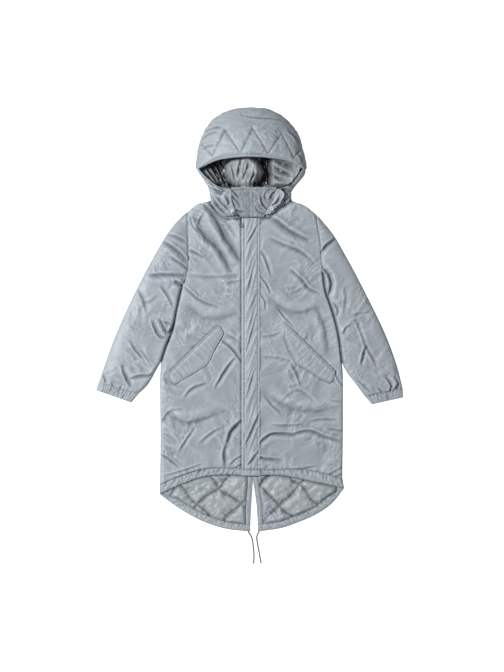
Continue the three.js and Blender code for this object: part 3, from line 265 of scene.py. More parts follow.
COLLAR_FROM_ROW = 4
COLLAR = {
    "top_edge": 421.0, "bottom_rise": 14.0, "top_rise": 40.0, "wall": 7.0, "overlap": -12.0, "band_end": 36.0,
}
COLLAR_STITCH_X = (-4.0, 8.0, 30.0)
NECKLINE_Y = 327.0
LINING = {"bottom": 404.0, "foot_inset": 13.0, "bulge_centre": (-22.0, 474.0), "bulge_size": (61.0, 56.0)}
EYELET = {"outer": 5.8, "inner": 1.8, "thickness": 1.5, "lift": 3.0}
EYELET_PLACES = {"right": (6.4, 0.12), "left": (6.1, 0.2)}
EYELET_SPOTS = {"right": (-58, 346), "left": (67, 354)}

# Cord routes: x, y and z of the centreline in metres
TAIL_CORD_ROUTES = {
    "right": [
        (-0.008, -0.6801, 0.009), (-0.006, -0.6845, 0.0062), (-0.003, -0.689, 0.0036),
        (0.0005, -0.6945, 0.0025), (0.0034, -0.702, 0.0025), (0.0056, -0.711, 0.0025),
        (0.0072, -0.722, 0.0025), (0.0084, -0.734, 0.0025), (0.0098, -0.748, 0.0025),
        (0.0102, -0.76, 0.0025), (0.0097, -0.772, 0.0025), (0.009, -0.784, 0.0025),
    ],
    "left": [
        (0.027, -0.6806, 0.009), (0.025, -0.684, 0.0062), (0.0224, -0.688, 0.0036),
        (0.0204, -0.693, 0.0025), (0.0193, -0.699, 0.0025), (0.0194, -0.706, 0.0025),
        (0.0206, -0.714, 0.0025), (0.0222, -0.723, 0.0025), (0.0243, -0.735, 0.0025),
        (0.027, -0.749, 0.0025), (0.03, -0.766, 0.0025), (0.0334, -0.783, 0.0025),
    ],
}
HOOD_CORD_ROUTE = [
    (-0.0552, 0.3464, 0.029), (-0.05, 0.341, 0.0286), (-0.045, 0.334, 0.0266), (-0.041, 0.327, 0.023),
    (-0.037, 0.319, 0.021), (-0.032, 0.31, 0.022), (-0.027, 0.303, 0.0229), (-0.024, 0.297, 0.023),
    (-0.027, 0.293, 0.0229), (-0.032, 0.296, 0.0224), (-0.037, 0.303, 0.021), (-0.042, 0.311, 0.02),
    (-0.047, 0.32, 0.0212), (-0.051, 0.328, 0.025), (-0.055, 0.335, 0.0278), (-0.0588, 0.342, 0.0292),
]

# Heights for laying stitches, in metres: where the cloth is looked for from, the lowest cloth that is
# sewn, the largest step between two stitches and how far a stitch lies above the cloth
STITCH_HEIGHTS = {"from": 0.4, "lowest": 0.004, "largest_step": 0.004, "above": 0.15 * MM}

# The camera looks straight down at the coat
PHOTO = {"height": 672, "millimetres_per_pixel": 3.2, "centre_x": 4.0, "centre_y": -54.0}
LENS = {"focal_length": 135.0, "sensor": 36.0}


class CoatClothSettings(bpy.types.PropertyGroup):
    """Colours and surface of the shell cloth and the lining."""

    shell_colour: FloatVectorProperty(
        name="Shell colour", description="Colour of the outer nylon",
        subtype="COLOR", size=3, min=0.0, max=1.0, default=(0.37, 0.41, 0.448),
    )
    lining_colour: FloatVectorProperty(
        name="Lining colour", description="Colour of the quilted lining",
        subtype="COLOR", size=3, min=0.0, max=1.0, default=(0.375, 0.407, 0.432),
    )
    cord_colour: FloatVectorProperty(
        name="Cord colour", description="Colour of the drawcords",
        subtype="COLOR", size=3, min=0.0, max=1.0, default=(0.15, 0.16, 0.17),
    )
    thread_size: FloatProperty(
        name="Thread size", description="Distance between two threads of the weave",
        unit="LENGTH", default=0.0011, min=0.0002,
    )
    # Strength of the painted shade deep in the folds
    fold_shade: FloatProperty(
        name="Fold shade", description="How much darker the cloth is deep in its folds",
        subtype="FACTOR", default=0.45, min=0.0, max=1.0,
    )


class CoatShapeSettings(bpy.types.PropertyGroup):
    """How finely the cloth is built and how much it creases."""

    cloth_step: FloatProperty(
        name="Cloth step", description="Distance between two points of the large panels, in millimetres",
        default=2.5, min=2.0, max=12.0,
    )
    trim_step: FloatProperty(
        name="Trim step", description="Distance between two points of bands, flaps and cuffs, in millimetres",
        default=1.7, min=1.0, max=6.0,
    )
    crease_strength: FloatProperty(
        name="Crease strength", description="Scales the depth of the large creases",
        default=1.5, min=0.0, max=3.0,
    )
    crumple_strength: FloatProperty(
        name="Crumple strength", description="Scales the height of the small wrinkles",
        default=2.1, min=0.0, max=3.0,
    )


class CoatTrimSettings(bpy.types.PropertyGroup):
    """Stitching and cords."""

    stitch_pitch: FloatProperty(
        name="Stitch pitch", description="Distance from one stitch to the next",
        unit="LENGTH", default=0.0038, min=0.002,
    )
    stitch_length: FloatProperty(
        name="Stitch length", description="Length of the thread that shows in one stitch",
        unit="LENGTH", default=0.0027, min=0.001,
    )
    stitch_thickness: FloatProperty(
        name="Stitch thickness", description="Thickness of the sewing thread",
        unit="LENGTH", default=0.0007, min=0.0002,
    )
    tail_cord_thickness: FloatProperty(
        name="Tail cord thickness", description="Diameter of the drawcord of the fishtail",
        unit="LENGTH", default=0.0046, min=0.001,
    )
    hood_cord_thickness: FloatProperty(
        name="Hood cord thickness", description="Diameter of the drawcord of the hood",
        unit="LENGTH", default=0.003, min=0.001,
    )


class CoatStageSettings(bpy.types.PropertyGroup):
    """Floor and light around the coat."""

    floor_colour: FloatVectorProperty(
        name="Floor colour", description="Colour of the plain floor",
        subtype="COLOR", size=3, min=0.0, max=1.0, default=(0.55, 0.56, 0.57),
    )
    floor_glow: FloatProperty(
        name="Floor glow", description="How white the floor shows, without lighting the coat",
        default=1.0, min=0.0,
    )
    sky_light: FloatProperty(name="Sky light", description="Strength of the even light", default=0.2, min=0.0)
    key_light: FloatProperty(
        name="Key light", description="Power of the large lamp", unit="POWER", default=163.0, min=0.0
    )


def cloth_settings():
    return bpy.context.scene.coat_cloth


def shape_settings():
    return bpy.context.scene.coat_shape


def trim_settings():
    return bpy.context.scene.coat_trim


def stage_settings():
    return bpy.context.scene.coat_stage


# Plane curves
def catmull_rom(points, steps_between=24):
    """Points of a centripetal Catmull-Rom curve through the given ones, of any dimension."""
    p = np.asarray(points, float)
    if len(p) == 2:
        return p[0] + (p[1] - p[0]) * np.linspace(0, 1, steps_between + 1)[:, None]
    p = np.vstack([2 * p[0] - p[1], p, 2 * p[-1] - p[-2]])
    t = np.linspace(0, 1, steps_between, endpoint=False)[:, None]
    parts = []
    for a, b, c, d in zip(p[:-3], p[1:-2], p[2:-1], p[3:]):
        ab, bc, cd = (max(1e-6, float(np.linalg.norm(y - x))) ** 0.5 for x, y in ((a, b), (b, c), (c, d)))
        start = (b - a) / ab * bc - (c - a) / (ab + bc) * bc + (c - b)
        end = (c - b) - (d - b) / (bc + cd) * bc + (d - c) / cd * bc
        parts.append(
            (2 * t**3 - 3 * t**2 + 1) * b + (t**3 - 2 * t**2 + t) * start
            + (3 * t**2 - 2 * t**3) * c + (t**3 - t**2) * end
        )
    return np.vstack([*parts, p[-2]])


def along(line, count):
    """count + 1 points evenly spaced along a line of straight stretches."""
    line = np.asarray(line, float)
    lengths = np.concatenate([[0], np.cumsum(np.linalg.norm(np.diff(line, axis=0), axis=1))])
    wanted = np.linspace(0, lengths[-1], count + 1)
    return np.stack([np.interp(wanted, lengths, line[:, k]) for k in range(line.shape[1])], axis=1)


def length_of(line):
    return float(np.linalg.norm(np.diff(np.asarray(line, float), axis=0), axis=1).sum())


def straight(start, end, count):
    start, end = np.asarray(start, float), np.asarray(end, float)
    return start + (end - start) * np.linspace(0, 1, count + 1)[:, None]


def chain(*lines):
    return np.vstack([lines[0], *[line[1:] for line in lines[1:]]])


def loop_area(loop):
    following = np.roll(loop, -1, axis=0)
    return float((loop[:, 0] * following[:, 1] - following[:, 0] * loop[:, 1]).sum() / 2)


def inset(loop, distance):
    """A closed outline moved inwards by a distance, with mitred corners."""
    turn = math.copysign(1, loop_area(loop))

    def inward(start, end):
        run = end - start
        size = np.maximum(1e-9, np.linalg.norm(run, axis=1))
        return turn * np.stack([-run[:, 1], run[:, 0]], axis=1) / size[:, None]

    before = inward(np.roll(loop, 1, axis=0), loop)
    after = inward(loop, np.roll(loop, -1, axis=0))
    spread = np.maximum(0.35, 1 + (before * after).sum(axis=1))
    return loop + (before + after) * (distance / spread)[:, None]


def seams_of(side):
    """The seams of one side as dense smooth lines."""
    return {
        name: catmull_rom(points)
        for name, points in side.items()
        if name != "name" and len(points) > 2
    }


SEAMS = {side["name"]: seams_of(side) for side in SIDES}


def distance_to(line, x, y):
    """Distance of each place from a line, how far along the line it is, and on which side."""
    line = np.asarray(line, float)
    best = np.full(x.shape, 1e12)
    place = np.zeros(x.shape)
    side = np.zeros(x.shape)
    run = 0.0
    for a, b in zip(line[:-1], line[1:]):
        dx, dy = b - a
        size = math.hypot(dx, dy)
        if size < 1e-9:
            continue
        t = np.clip(((x - a[0]) * dx + (y - a[1]) * dy) / size**2, 0, 1)
        ox, oy = x - a[0] - dx * t, y - a[1] - dy * t
        away = ox * ox + oy * oy
        nearer = away < best
        best = np.where(nearer, away, best)
        place = np.where(nearer, run + t * size, place)
        side = np.where(nearer, np.sign(dx * oy - dy * ox), side)
        run += size
    return np.sqrt(best), place, side


def away_from(line, x, y):
    return distance_to(line, x, y)[0]


# Heights of the cloth
def rounded_drop(distance, width):
    near = np.clip(1 - distance / width, 0, 1)
    return 1 - np.sqrt(1 - near * near)


def soft_drop(distance, width):
    near = np.clip(1 - distance / width, 0, 1)
    return near * near


def bell(distance, width):
    return np.exp(-((distance / width) ** 2))


def smooth(value, low, high):
    t = np.clip((value - low) / (high - low), 0, 1)
    return t * t * (3 - 2 * t)


class Ripple:
    """Seeded smooth noise over a plane, about -0.7 to 0.7."""

    SIZE = 64

    def __init__(self, seed):
        angle = np.random.default_rng(seed).random((self.SIZE, self.SIZE)) * 2 * math.pi
        self.slope_x, self.slope_y = np.cos(angle), np.sin(angle)

    def at(self, x, y):
        left, low = np.floor(x), np.floor(y)
        fx, fy = x - left, y - low
        column, row = left.astype(int), low.astype(int)
        u, v = (f * f * f * (f * (f * 6 - 15) + 10) for f in (fx, fy))

        def corner(dx, dy):
            i, j = (column + dx) % self.SIZE, (row + dy) % self.SIZE
            return self.slope_x[i, j] * (fx - dx) + self.slope_y[i, j] * (fy - dy)

        lower = corner(0, 0) * (1 - u) + corner(1, 0) * u
        upper = corner(0, 1) * (1 - u) + corner(1, 1) * u
        return lower * (1 - v) + upper * v


RIPPLES = [Ripple(seed) for seed in range(11, 17)]


def crumple(x, y, lean=0.0, strength=1.0):
    """Small soft wrinkles of light nylon: warped ridges of three sizes, in patches."""
    c, s = math.cos(lean), math.sin(lean)
    along_grain, across_grain = (x * c + y * s) * 0.62, y * c - x * s
    warp_x = along_grain + 30 * RIPPLES[0].at(x / 83, y / 83)
    warp_y = across_grain + 30 * RIPPLES[1].at(x / 83, y / 83)
    broad = 0.22 - np.abs(RIPPLES[2].at(warp_x / 66, warp_y / 66))
    middle = 0.2 - np.abs(RIPPLES[3].at(warp_x / 33, warp_y / 33))
    fine = 0.2 - np.abs(RIPPLES[4].at(warp_x / 17, warp_y / 15))
    patches = 0.15 + 0.85 * smooth(RIPPLES[5].at(x / 105, y / 105), -0.15, 0.4)
    height = 2.5 * broad + 3.3 * middle * patches + 1.8 * fine * patches
    return height * strength * shape_settings().crumple_strength


CREASE_SHARPNESS = 0.58

# Reach and depth in millimetres of the folds whose painted shade darkens the colour, and the share of each
FOLD_SHADES = [(4.0, 1.6, 0.45), (14.0, 5.0, 0.5), (34.0, 14.0, 0.45)]


def crease_drop(creases, x, y):
    """Listed creases: steep on the side that faces the light, gentle on the other, with a ridge."""
    total = np.zeros(x.shape)
    for index, (places, half_width, depth) in enumerate(creases.values()):
        line = catmull_rom(places, 6)
        width = CREASE_SHARPNESS * half_width
        reach = 5 * width
        low, high = line.min(axis=0) - reach, line.max(axis=0) + reach
        near = (x > low[0]) & (x < high[0]) & (y > low[1]) & (y < high[1])
        if not near.any():
            continue
        wobble = 0.35 * width * RIPPLES[index % 6].at(x[near] / 26, y[near] / 26)
        away, place, side = distance_to(line, x[near], y[near])
        run = place / length_of(line)
        taper = np.clip(4.2 * run * (1 - run), 0, 1) ** 0.7
        taper = 0.1 + 0.9 * taper
        heading = line[-1] - line[0]
        lit = 1.0 if heading[1] * 0.77 + heading[0] * 0.64 > 0 else -1.0
        signed = lit * away * np.where(side == 0, 1, side) + wobble
        beyond = bell(np.maximum(0, away - np.abs(signed)), width)
        steep = np.exp(-((np.maximum(0, signed) / (0.6 * width)) ** 1.7))
        gentle = np.exp(-((np.maximum(0, -signed) / (1.25 * width)) ** 1.3))
        trough = np.where(signed > 0, steep, gentle)
        ridge = 0.6 * bell(signed - 1.6 * width, width)
        ridge += 0.2 * bell(signed + 3.0 * width, 1.5 * width)
        total[near] += depth * taper * (trough - ridge) * beyond
    return total * shape_settings().crease_strength


def seam_pucker(line, x, y, height, reach, spacing, ripple=0):
    """Short wrinkles that run square to a seam and die out away from it."""
    away, place, _ = distance_to(along(line, 60), x, y)
    wave = RIPPLES[ripple].at(place / spacing, away / (5 * spacing) + 3.7)
    wave += 0.6 * RIPPLES[(ripple + 1) % 6].at(place / (0.55 * spacing), away / (3 * spacing))
    return height * wave * np.exp(-away / reach)


class Patch:
    """Cloth between four seams: plan places, and how far across (u) and down (v) each one is."""

    def __init__(self, top, bottom, near, far, gap=SEAM_GAP / 2):
        across, down = len(top) - 1, len(near) - 1
        loop = np.vstack([top, far[1:], bottom[:-1][::-1], near[1:-1][::-1]])
        edge = inset(loop, gap) if gap else loop
        top, far = edge[: across + 1], edge[across : across + down + 1]
        bottom = edge[across + down : 2 * across + down + 1][::-1]
        near = np.vstack([edge[:1], edge[2 * across + down :][::-1]])
        u = np.linspace(0, 1, across + 1)[None, :, None]
        v = np.linspace(0, 1, down + 1)[:, None, None]
        places = (
            (1 - v) * top[None] + v * bottom[None] + (1 - u) * near[:, None] + u * far[:, None]
            - (1 - u) * (1 - v) * top[0] - u * (1 - v) * top[-1]
            - (1 - u) * v * bottom[0] - u * v * bottom[-1]
        )
        self.x, self.y = places[..., 0], places[..., 1]
        self.u = np.broadcast_to(u[..., 0], self.x.shape)
        self.v = np.broadcast_to(v[..., 0], self.x.shape)
        self.outline = loop
        self.area = abs(loop_area(loop))

    def rim_distance(self):
        """Rough distance of each place from the nearest edge of the patch."""
        widths, depths = self.lengths()
        across = np.minimum(self.u, 1 - self.u) * widths[:, None]
        down = np.minimum(self.v, 1 - self.v) * depths[None]
        return np.minimum(across, down)

    def lengths(self):
        """Length of every line of the cloth that runs across, and of every one that runs down."""
        points = np.stack([self.x, self.y], axis=-1)
        return [np.linalg.norm(np.diff(points, axis=axis), axis=2).sum(axis=axis) for axis in (1, 0)]


def patch_between(top, bottom, near, far, step, gap=SEAM_GAP / 2):
    """A patch whose four edges are cut into steps of about the given length."""
    across = max(4, round(max(length_of(top), length_of(bottom)) / step))
    down = max(4, round(max(length_of(near), length_of(far)) / step))
    return Patch(along(top, across), along(bottom, across), along(near, down), along(far, down), gap)


def four_sided_patch(top_near, top_far, bottom_near, bottom_far, step, gap=SEAM_GAP / 2):
    """A patch with straight edges between its four corners."""
    edges = ((top_near, top_far), (bottom_near, bottom_far), (top_near, bottom_near), (top_far, bottom_far))
    return patch_between(*[straight(start, end, 4) for start, end in edges], step, gap)


# Meshes
def signed_volume(points, faces):
    """Volume within closed faces, below zero where they face inwards."""
    volume = 0.0
    for size in {len(face) for face in faces}:
        corners = points[np.array([face for face in faces if len(face) == size])]
        for k in range(1, size - 1):
            volume += (corners[:, 0] * np.cross(corners[:, k], corners[:, k + 1])).sum()
    return volume


def mesh_object(name, vertices, faces, material, cloth_map=None):
    """A smooth-shaded object at the origin, its points given in millimetres, with faces outwards."""
    mesh = bpy.data.meshes.new(name)
    points = np.asarray(vertices, float) * MM
    if signed_volume(points, faces) < 0:
        faces = [face[::-1] for face in faces]
    mesh.from_pydata(points.tolist(), [], faces)
    mesh.polygons.foreach_set("use_smooth", np.ones(len(mesh.polygons), bool))
    if cloth_map is not None:
        layer = mesh.uv_layers.new(name="cloth")
        corners = np.zeros(len(mesh.loops), np.int32)
        mesh.loops.foreach_get("vertex_index", corners)
        layer.data.foreach_set("uv", (np.asarray(cloth_map) * MM)[corners].ravel().astype(np.float32))
    mesh.validate()
    mesh.update()
    made = bpy.data.objects.new(name, mesh)
    bpy.context.scene.collection.objects.link(made)
    made.data.materials.append(material)
    return made


def grid_faces(index):
    return np.stack([index[:-1, :-1], index[1:, :-1], index[1:, 1:], index[:-1, 1:]], axis=-1).reshape(-1, 4)


def rim_of(index):
    return np.concatenate([index[0, :-1], index[:-1, -1], index[-1, :0:-1], index[:0:-1, 0]])


def coarse_faces(index, stride):
    """Large faces over a grid, which keep every point of its rim."""
    rows = list(range(0, index.shape[0] - 1, stride)) + [index.shape[0] - 1]
    columns = list(range(0, index.shape[1] - 1, stride)) + [index.shape[1] - 1]
    last_row, last_column = rows[-1], columns[-1]
    faces = []
    for top, bottom in zip(rows[:-1], rows[1:]):
        for left, right in zip(columns[:-1], columns[1:]):
            across = 1 if top == 0 else right - left
            face = list(index[top, left:right:across])
            down = 1 if right == last_column else bottom - top
            face += list(index[top:bottom:down, right])
            back = 1 if bottom == last_row else right - left
            face += list(index[bottom, right:left:-back])
            up = 1 if left == 0 else bottom - top
            face += list(index[bottom:top:-up, left])
            faces.append([int(corner) for corner in face])
    return faces


def blurred(grid, reach):
    """A grid of points, each the mean of those within the given reach in millimetres."""
    for axis in (0, 1):
        cell = np.linalg.norm(np.diff(grid, axis=axis), axis=-1).mean()
        radius = int(np.clip(round(reach / cell), 1, grid.shape[axis] // 2))
        spread = [(0, 0)] * 3
        spread[axis] = (radius + 1, radius)
        total = np.moveaxis(np.cumsum(np.pad(grid, spread, mode="edge"), axis=axis), axis, 0)
        grid = np.moveaxis((total[2 * radius + 1 :] - total[: -2 * radius - 1]) / (2 * radius + 1), 0, axis)
    return grid


def painted_fold_shade(grid):
    """Painted shade of each point for how deep it lies in a fold, about 0 to 1, and a little below 0 on a
    ridge, which paints it a little lighter.
    """
    down, across = np.gradient(grid, axis=(0, 1))
    normal = np.cross(across, down)
    normal /= np.maximum(1e-9, np.linalg.norm(normal, axis=-1))[..., None]
    normal *= np.where(normal[..., 2] < 0, -1, 1)[..., None]
    depth = np.zeros(grid.shape[:2])
    for reach, deepest, share in FOLD_SHADES:
        below = ((blurred(blurred(grid, reach), reach) - grid) * normal).sum(axis=-1)
        depth += share * np.clip(below / deepest, -0.35, 1)
    return depth


def closed_cloth(name, upper, under, material, grain=None, bulge=0.0, stride=6, extra_painted_shade=0.0):
    """A wall of cloth from an upper and an under grid of points; its rim may bulge a little, and extra
    painted shade may be added to the painted shade of its folds.
    """
    rows, columns = upper.shape[:2]
    count = rows * columns
    top = np.arange(count).reshape(rows, columns)
    faces = grid_faces(top).tolist() + coarse_faces(top + count, stride)
    rim = rim_of(top)
    following = np.roll(rim, -1)
    points = [upper.reshape(-1, 3), under.reshape(-1, 3)]
    if bulge:
        middle = (points[0][rim] + points[1][rim]) / 2
        before, after = np.roll(middle, 1, axis=0), np.roll(middle, -1, axis=0)
        run = after - before
        outward = np.stack([run[:, 1], -run[:, 0], np.zeros(len(run))], axis=1)
        outward /= np.maximum(1e-9, np.linalg.norm(outward, axis=1))[:, None]
        turn = math.copysign(1, loop_area(middle[:, :2]))
        middle = middle + outward * bulge * turn
        points.append(middle)
        ring = 2 * count + np.arange(len(rim))
        next_ring = np.roll(ring, -1)
        faces += np.stack([rim, following, next_ring, ring], axis=1).tolist()
        faces += np.stack([ring, next_ring, following + count, rim + count], axis=1).tolist()
    else:
        faces += np.stack([rim, following, following + count, rim + count], axis=1).tolist()
    points = np.vstack(points)
    cloth_map = points[:, :2] if grain is None else np.vstack([grain.reshape(-1, 2)] * 2)
    if len(cloth_map) < len(points):
        cloth_map = np.vstack([cloth_map, cloth_map[rim]])
    # Painted shade for the materials: darker deep in the folds and where extra painted shade is given, a
    # little lighter on ridges
    depth = np.zeros(len(points))
    depth[:count] = (painted_fold_shade(upper) + extra_painted_shade).ravel()
    depth[2 * count :] = depth[rim][: len(points) - 2 * count]
    used = np.zeros(len(points), bool)
    used[np.concatenate([np.asarray(face) for face in faces])] = True
    number = np.cumsum(used) - 1
    faces = [number[face].tolist() for face in faces]
    made = mesh_object(name, points[used], faces, material, cloth_map[used])
    layer = made.data.attributes.new("painted_fold_shade", "FLOAT", "POINT")
    layer.data.foreach_set("value", depth[used].astype(np.float32))
    return made


def wall_from(patch, top_height, under_height, name, material, bulge=0.0, extra_painted_shade=0.0):
    """A closed cloth whose heights are arrays over a patch, or one number."""
    heights = [np.broadcast_to(height, patch.x.shape) for height in (top_height, under_height)]
    upper, under = (np.stack([patch.x, patch.y, height], axis=-1) for height in heights)
    return closed_cloth(name, upper, under, material, bulge=bulge, extra_painted_shade=extra_painted_shade)


def stand_for(piece, node):
    """Hangs a piece under the root and hides the solid it takes the place of."""
    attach(piece, "root")
    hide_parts(node)


def sew_sheet(node, patch, top, under, bulge=0.0, extra_painted_shade=0.0):
    """A cut piece of shell cloth over its under height; its greatest width and length along the cloth are
    worked out but not kept.
    """
    piece = wall_from(patch, top, under, f"{node}_cloth", shell_cloth(), bulge, extra_painted_shade)
    stand_for(piece, node)
    width, length = (float(lengths.max()) * MM for lengths in patch.lengths())


# Materials
def feed(tree, socket, value):
    """Links a socket where the value is another socket, and sets it where it isn't."""
    if isinstance(value, bpy.types.NodeSocket):
        tree.links.new(value, socket)
    else:
        socket.default_value = value


def feed_named(tree, node, **values):
    """Feeds the sockets that the keys name; an underscore in a key is a space in the name."""
    for key, value in values.items():
        feed(tree, node.inputs[key.replace("_", " ")], value)


def add_node(tree, kind, **values):
    """A node with its properties set; a key that isn't a property names a socket to feed."""
    node = tree.nodes.new(kind)
    for key, value in values.items():
        if hasattr(node, key):
            setattr(node, key, value)
        else:
            feed(tree, node.inputs[key], value)
    return node


def maths(tree, operation, *values, kind="ShaderNodeMath"):
    node = add_node(tree, kind, operation=operation)
    for socket, value in zip(node.inputs, values):
        feed(tree, socket, value)
    return node.outputs[0]


def node_group(name, inputs, outputs):
    """An empty shader group, what its start gives and its end; sockets are (name, kind, default)."""
    group = bpy.data.node_groups.new(name, "ShaderNodeTree")
    for socket, kind, default in inputs:
        made = group.interface.new_socket(name=socket, in_out="INPUT", socket_type=kind)
        if default is not None:
            made.default_value = default
    for socket, kind in outputs:
        group.interface.new_socket(name=socket, in_out="OUTPUT", socket_type=kind)
    return group, add_node(group, "NodeGroupInput").outputs, add_node(group, "NodeGroupOutput")


def plain_weave_group():
    """Height of a plain weave: two sets of threads that pass over and under each other."""
    group, given, end = node_group(
        "plain_weave",
        [("Vector", "NodeSocketVector", None), ("Thread Size", "NodeSocketFloat", 0.001)],
        [("Height", "NodeSocketFloat")],
    )
    parts = add_node(group, "ShaderNodeSeparateXYZ", Vector=given["Vector"]).outputs
    turns = maths(group, "DIVIDE", math.pi, given["Thread Size"])
    waves = [maths(group, "SINE", maths(group, "MULTIPLY", parts[axis], turns)) for axis in ("X", "Y")]
    rounded = maths(group, "ABSOLUTE", maths(group, "MULTIPLY", *waves))
    feed_named(group, end, Height=maths(group, "MULTIPLY_ADD", rounded, 0.5))
    return group


def fine_crumple_group():
    """Height of the smallest wrinkles: soft ridges in warped noise, and where they lie."""
    group, given, end = node_group(
        "fine_crumple",
        [("Vector", "NodeSocketVector", None), ("Scale", "NodeSocketFloat", 60.0)],
        [("Height", "NodeSocketFloat"), ("Ridges", "NodeSocketFloat")],
    )
    place = given["Vector"]
    warp = add_node(group, "ShaderNodeTexNoise", Scale=14.0, Detail=1.0, Vector=place).outputs["Color"]
    drawn = maths(group, "MULTIPLY", place, (0.6, 1.0, 1.0), kind="ShaderNodeVectorMath")
    shift = (0.07, 0.07, 0.07)
    warped = maths(group, "MULTIPLY_ADD", warp, shift, drawn, kind="ShaderNodeVectorMath")
    ridged = []
    for share, weight in ((1.0, 1.0), (2.1, 0.28)):
        scale = maths(group, "MULTIPLY", given["Scale"], share)
        noise = add_node(group, "ShaderNodeTexNoise", Vector=warped, Scale=scale, Detail=0.6, Roughness=0.4)
        centred = maths(group, "SUBTRACT", noise.outputs["Fac"], 0.5)
        ridge = maths(group, "SUBTRACT", 0.25, maths(group, "ABSOLUTE", centred))
        ridged.append(maths(group, "MULTIPLY", ridge, weight))
    calm = add_node(group, "ShaderNodeTexNoise", Scale=9.0, Detail=1.0, Vector=place).outputs["Fac"]
    patches = maths(group, "MULTIPLY", maths(group, "SUBTRACT", calm, 0.38), 3.4)
    patches = maths(group, "MINIMUM", maths(group, "MAXIMUM", patches, 0.25), 0.85)
    height = maths(group, "MULTIPLY", maths(group, "ADD", *ridged), patches)
    feed_named(group, end, Height=height, Ridges=maths(group, "MULTIPLY", height, 2.4))
    return group


def dye_drift_and_painted_shade_group():
    """Cloth colour that drifts a little at random, with a painted highlight on the ridges of the fine
    wrinkles and painted shade deep in the folds.
    """
    numbers = (("Drift", 0.06), ("Wear", 0.0), ("Fold Depth", 0.0), ("Fold Shade", 0.0))
    group, given, end = node_group(
        "dye_drift_and_painted_shade",
        [
            ("Vector", "NodeSocketVector", None),
            ("Colour", "NodeSocketColor", (0.4, 0.43, 0.46, 1.0)),
            *[(name, "NodeSocketFloat", default) for name, default in numbers],
        ],
        [("Colour", "NodeSocketColor")],
    )
    broad = add_node(group, "ShaderNodeTexNoise", Scale=5.5, Detail=2.0, Vector=given["Vector"])
    tint = add_node(group, "ShaderNodeTexNoise", Scale=3.1, Detail=1.0, Vector=given["Vector"])
    shade = maths(group, "MULTIPLY", maths(group, "SUBTRACT", broad.outputs["Fac"], 0.5), given["Drift"])
    # Painted highlight on the wrinkle ridges, and painted shade deep in the folds
    painted_highlight = maths(group, "MULTIPLY", given["Wear"], 0.06)
    deep = maths(group, "MULTIPLY", given["Fold Depth"], given["Fold Shade"])
    level = maths(group, "SUBTRACT", maths(group, "ADD", maths(group, "ADD", shade, painted_highlight), 1.0), deep)
    scaled = add_node(group, "ShaderNodeVectorMath", operation="SCALE", Vector=given["Colour"], Scale=level)
    turn = maths(group, "MULTIPLY", maths(group, "SUBTRACT", tint.outputs["Fac"], 0.5), 0.09)
    hue = add_node(group, "ShaderNodeHueSaturation", Color=scaled.outputs[0])
    feed_named(group, hue, Hue=maths(group, "ADD", turn, 0.5))
    feed_named(group, end, Colour=hue.outputs["Color"])
    return group


def placed_group(tree, name, make, **values):
    """The outputs of a shared group, which is made when it is first asked for."""
    node = add_node(tree, "ShaderNodeGroup", node_tree=bpy.data.node_groups.get(name) or make())
    feed_named(tree, node, **values)
    return node.outputs


def shared_material(name, fill, *values):
    """The material of that name, whose nodes are made when it is first asked for."""
    material = bpy.data.materials.get(name)
    if material is None:
        material = bpy.data.materials.new(name)
        material.use_nodes = True
        fill(material.node_tree, material.node_tree.nodes["Principled BSDF"], *values)
    return material


def object_place(tree):
    return add_node(tree, "ShaderNodeTexCoord").outputs["Object"]


def woven_nylon(tree, shader, colour, roughness, drift, wrinkle, sheen):
    """Drifting dye with painted shade deep in the folds and a painted highlight on wrinkle ridges, plain
    weave along the cloth and fine crumple over it.
    """
    place = object_place(tree)
    settings = cloth_settings()
    crumpled = placed_group(tree, "fine_crumple", fine_crumple_group, Vector=place, Scale=60.0)
    # Painted shade of the folds, read from each piece's point attribute
    folds = add_node(tree, "ShaderNodeAttribute", attribute_name="painted_fold_shade").outputs["Fac"]
    dye = placed_group(
        tree, "dye_drift_and_painted_shade", dye_drift_and_painted_shade_group, Vector=place, Colour=(*colour, 1.0), Drift=drift,
        Wear=crumpled["Ridges"], Fold_Depth=folds, Fold_Shade=settings.fold_shade,
    )
    threads = add_node(tree, "ShaderNodeUVMap", uv_map="cloth").outputs["UV"]
    weave = placed_group(
        tree, "plain_weave", plain_weave_group, Vector=threads, Thread_Size=settings.thread_size
    )
    gloss = add_node(tree, "ShaderNodeTexNoise", Scale=9.0, Detail=3.0, Vector=place).outputs["Fac"]
    spread = maths(tree, "MULTIPLY", maths(tree, "SUBTRACT", gloss, 0.5), 0.16)
    soft_bump = add_node(tree, "ShaderNodeBump", Strength=1.0, Distance=wrinkle, Height=crumpled["Height"])
    weave_bump = add_node(
        tree, "ShaderNodeBump", Strength=0.6, Distance=0.00012,
        Height=weave["Height"], Normal=soft_bump.outputs["Normal"],
    )
    feed_named(
        tree, shader, Base_Color=dye["Colour"], Roughness=maths(tree, "ADD", spread, roughness),
        Normal=weave_bump.outputs["Normal"], Specular_IOR_Level=0.42,
        Sheen_Weight=sheen, Sheen_Roughness=0.45, Sheen_Tint=(0.86, 0.92, 1.0, 1.0),
    )


def shell_cloth():
    colour = cloth_settings().shell_colour
    return shared_material("outer_nylon", woven_nylon, colour, 0.48, 0.16, 0.0075, 0.12)


def lining_cloth():
    colour = cloth_settings().lining_colour
    return shared_material("lining_nylon", woven_nylon, colour, 0.38, 0.16, 0.0065, 0.1)


def scaled_colour(colour, share):
    return (*[min(1.0, part * share) for part in colour], 1.0)


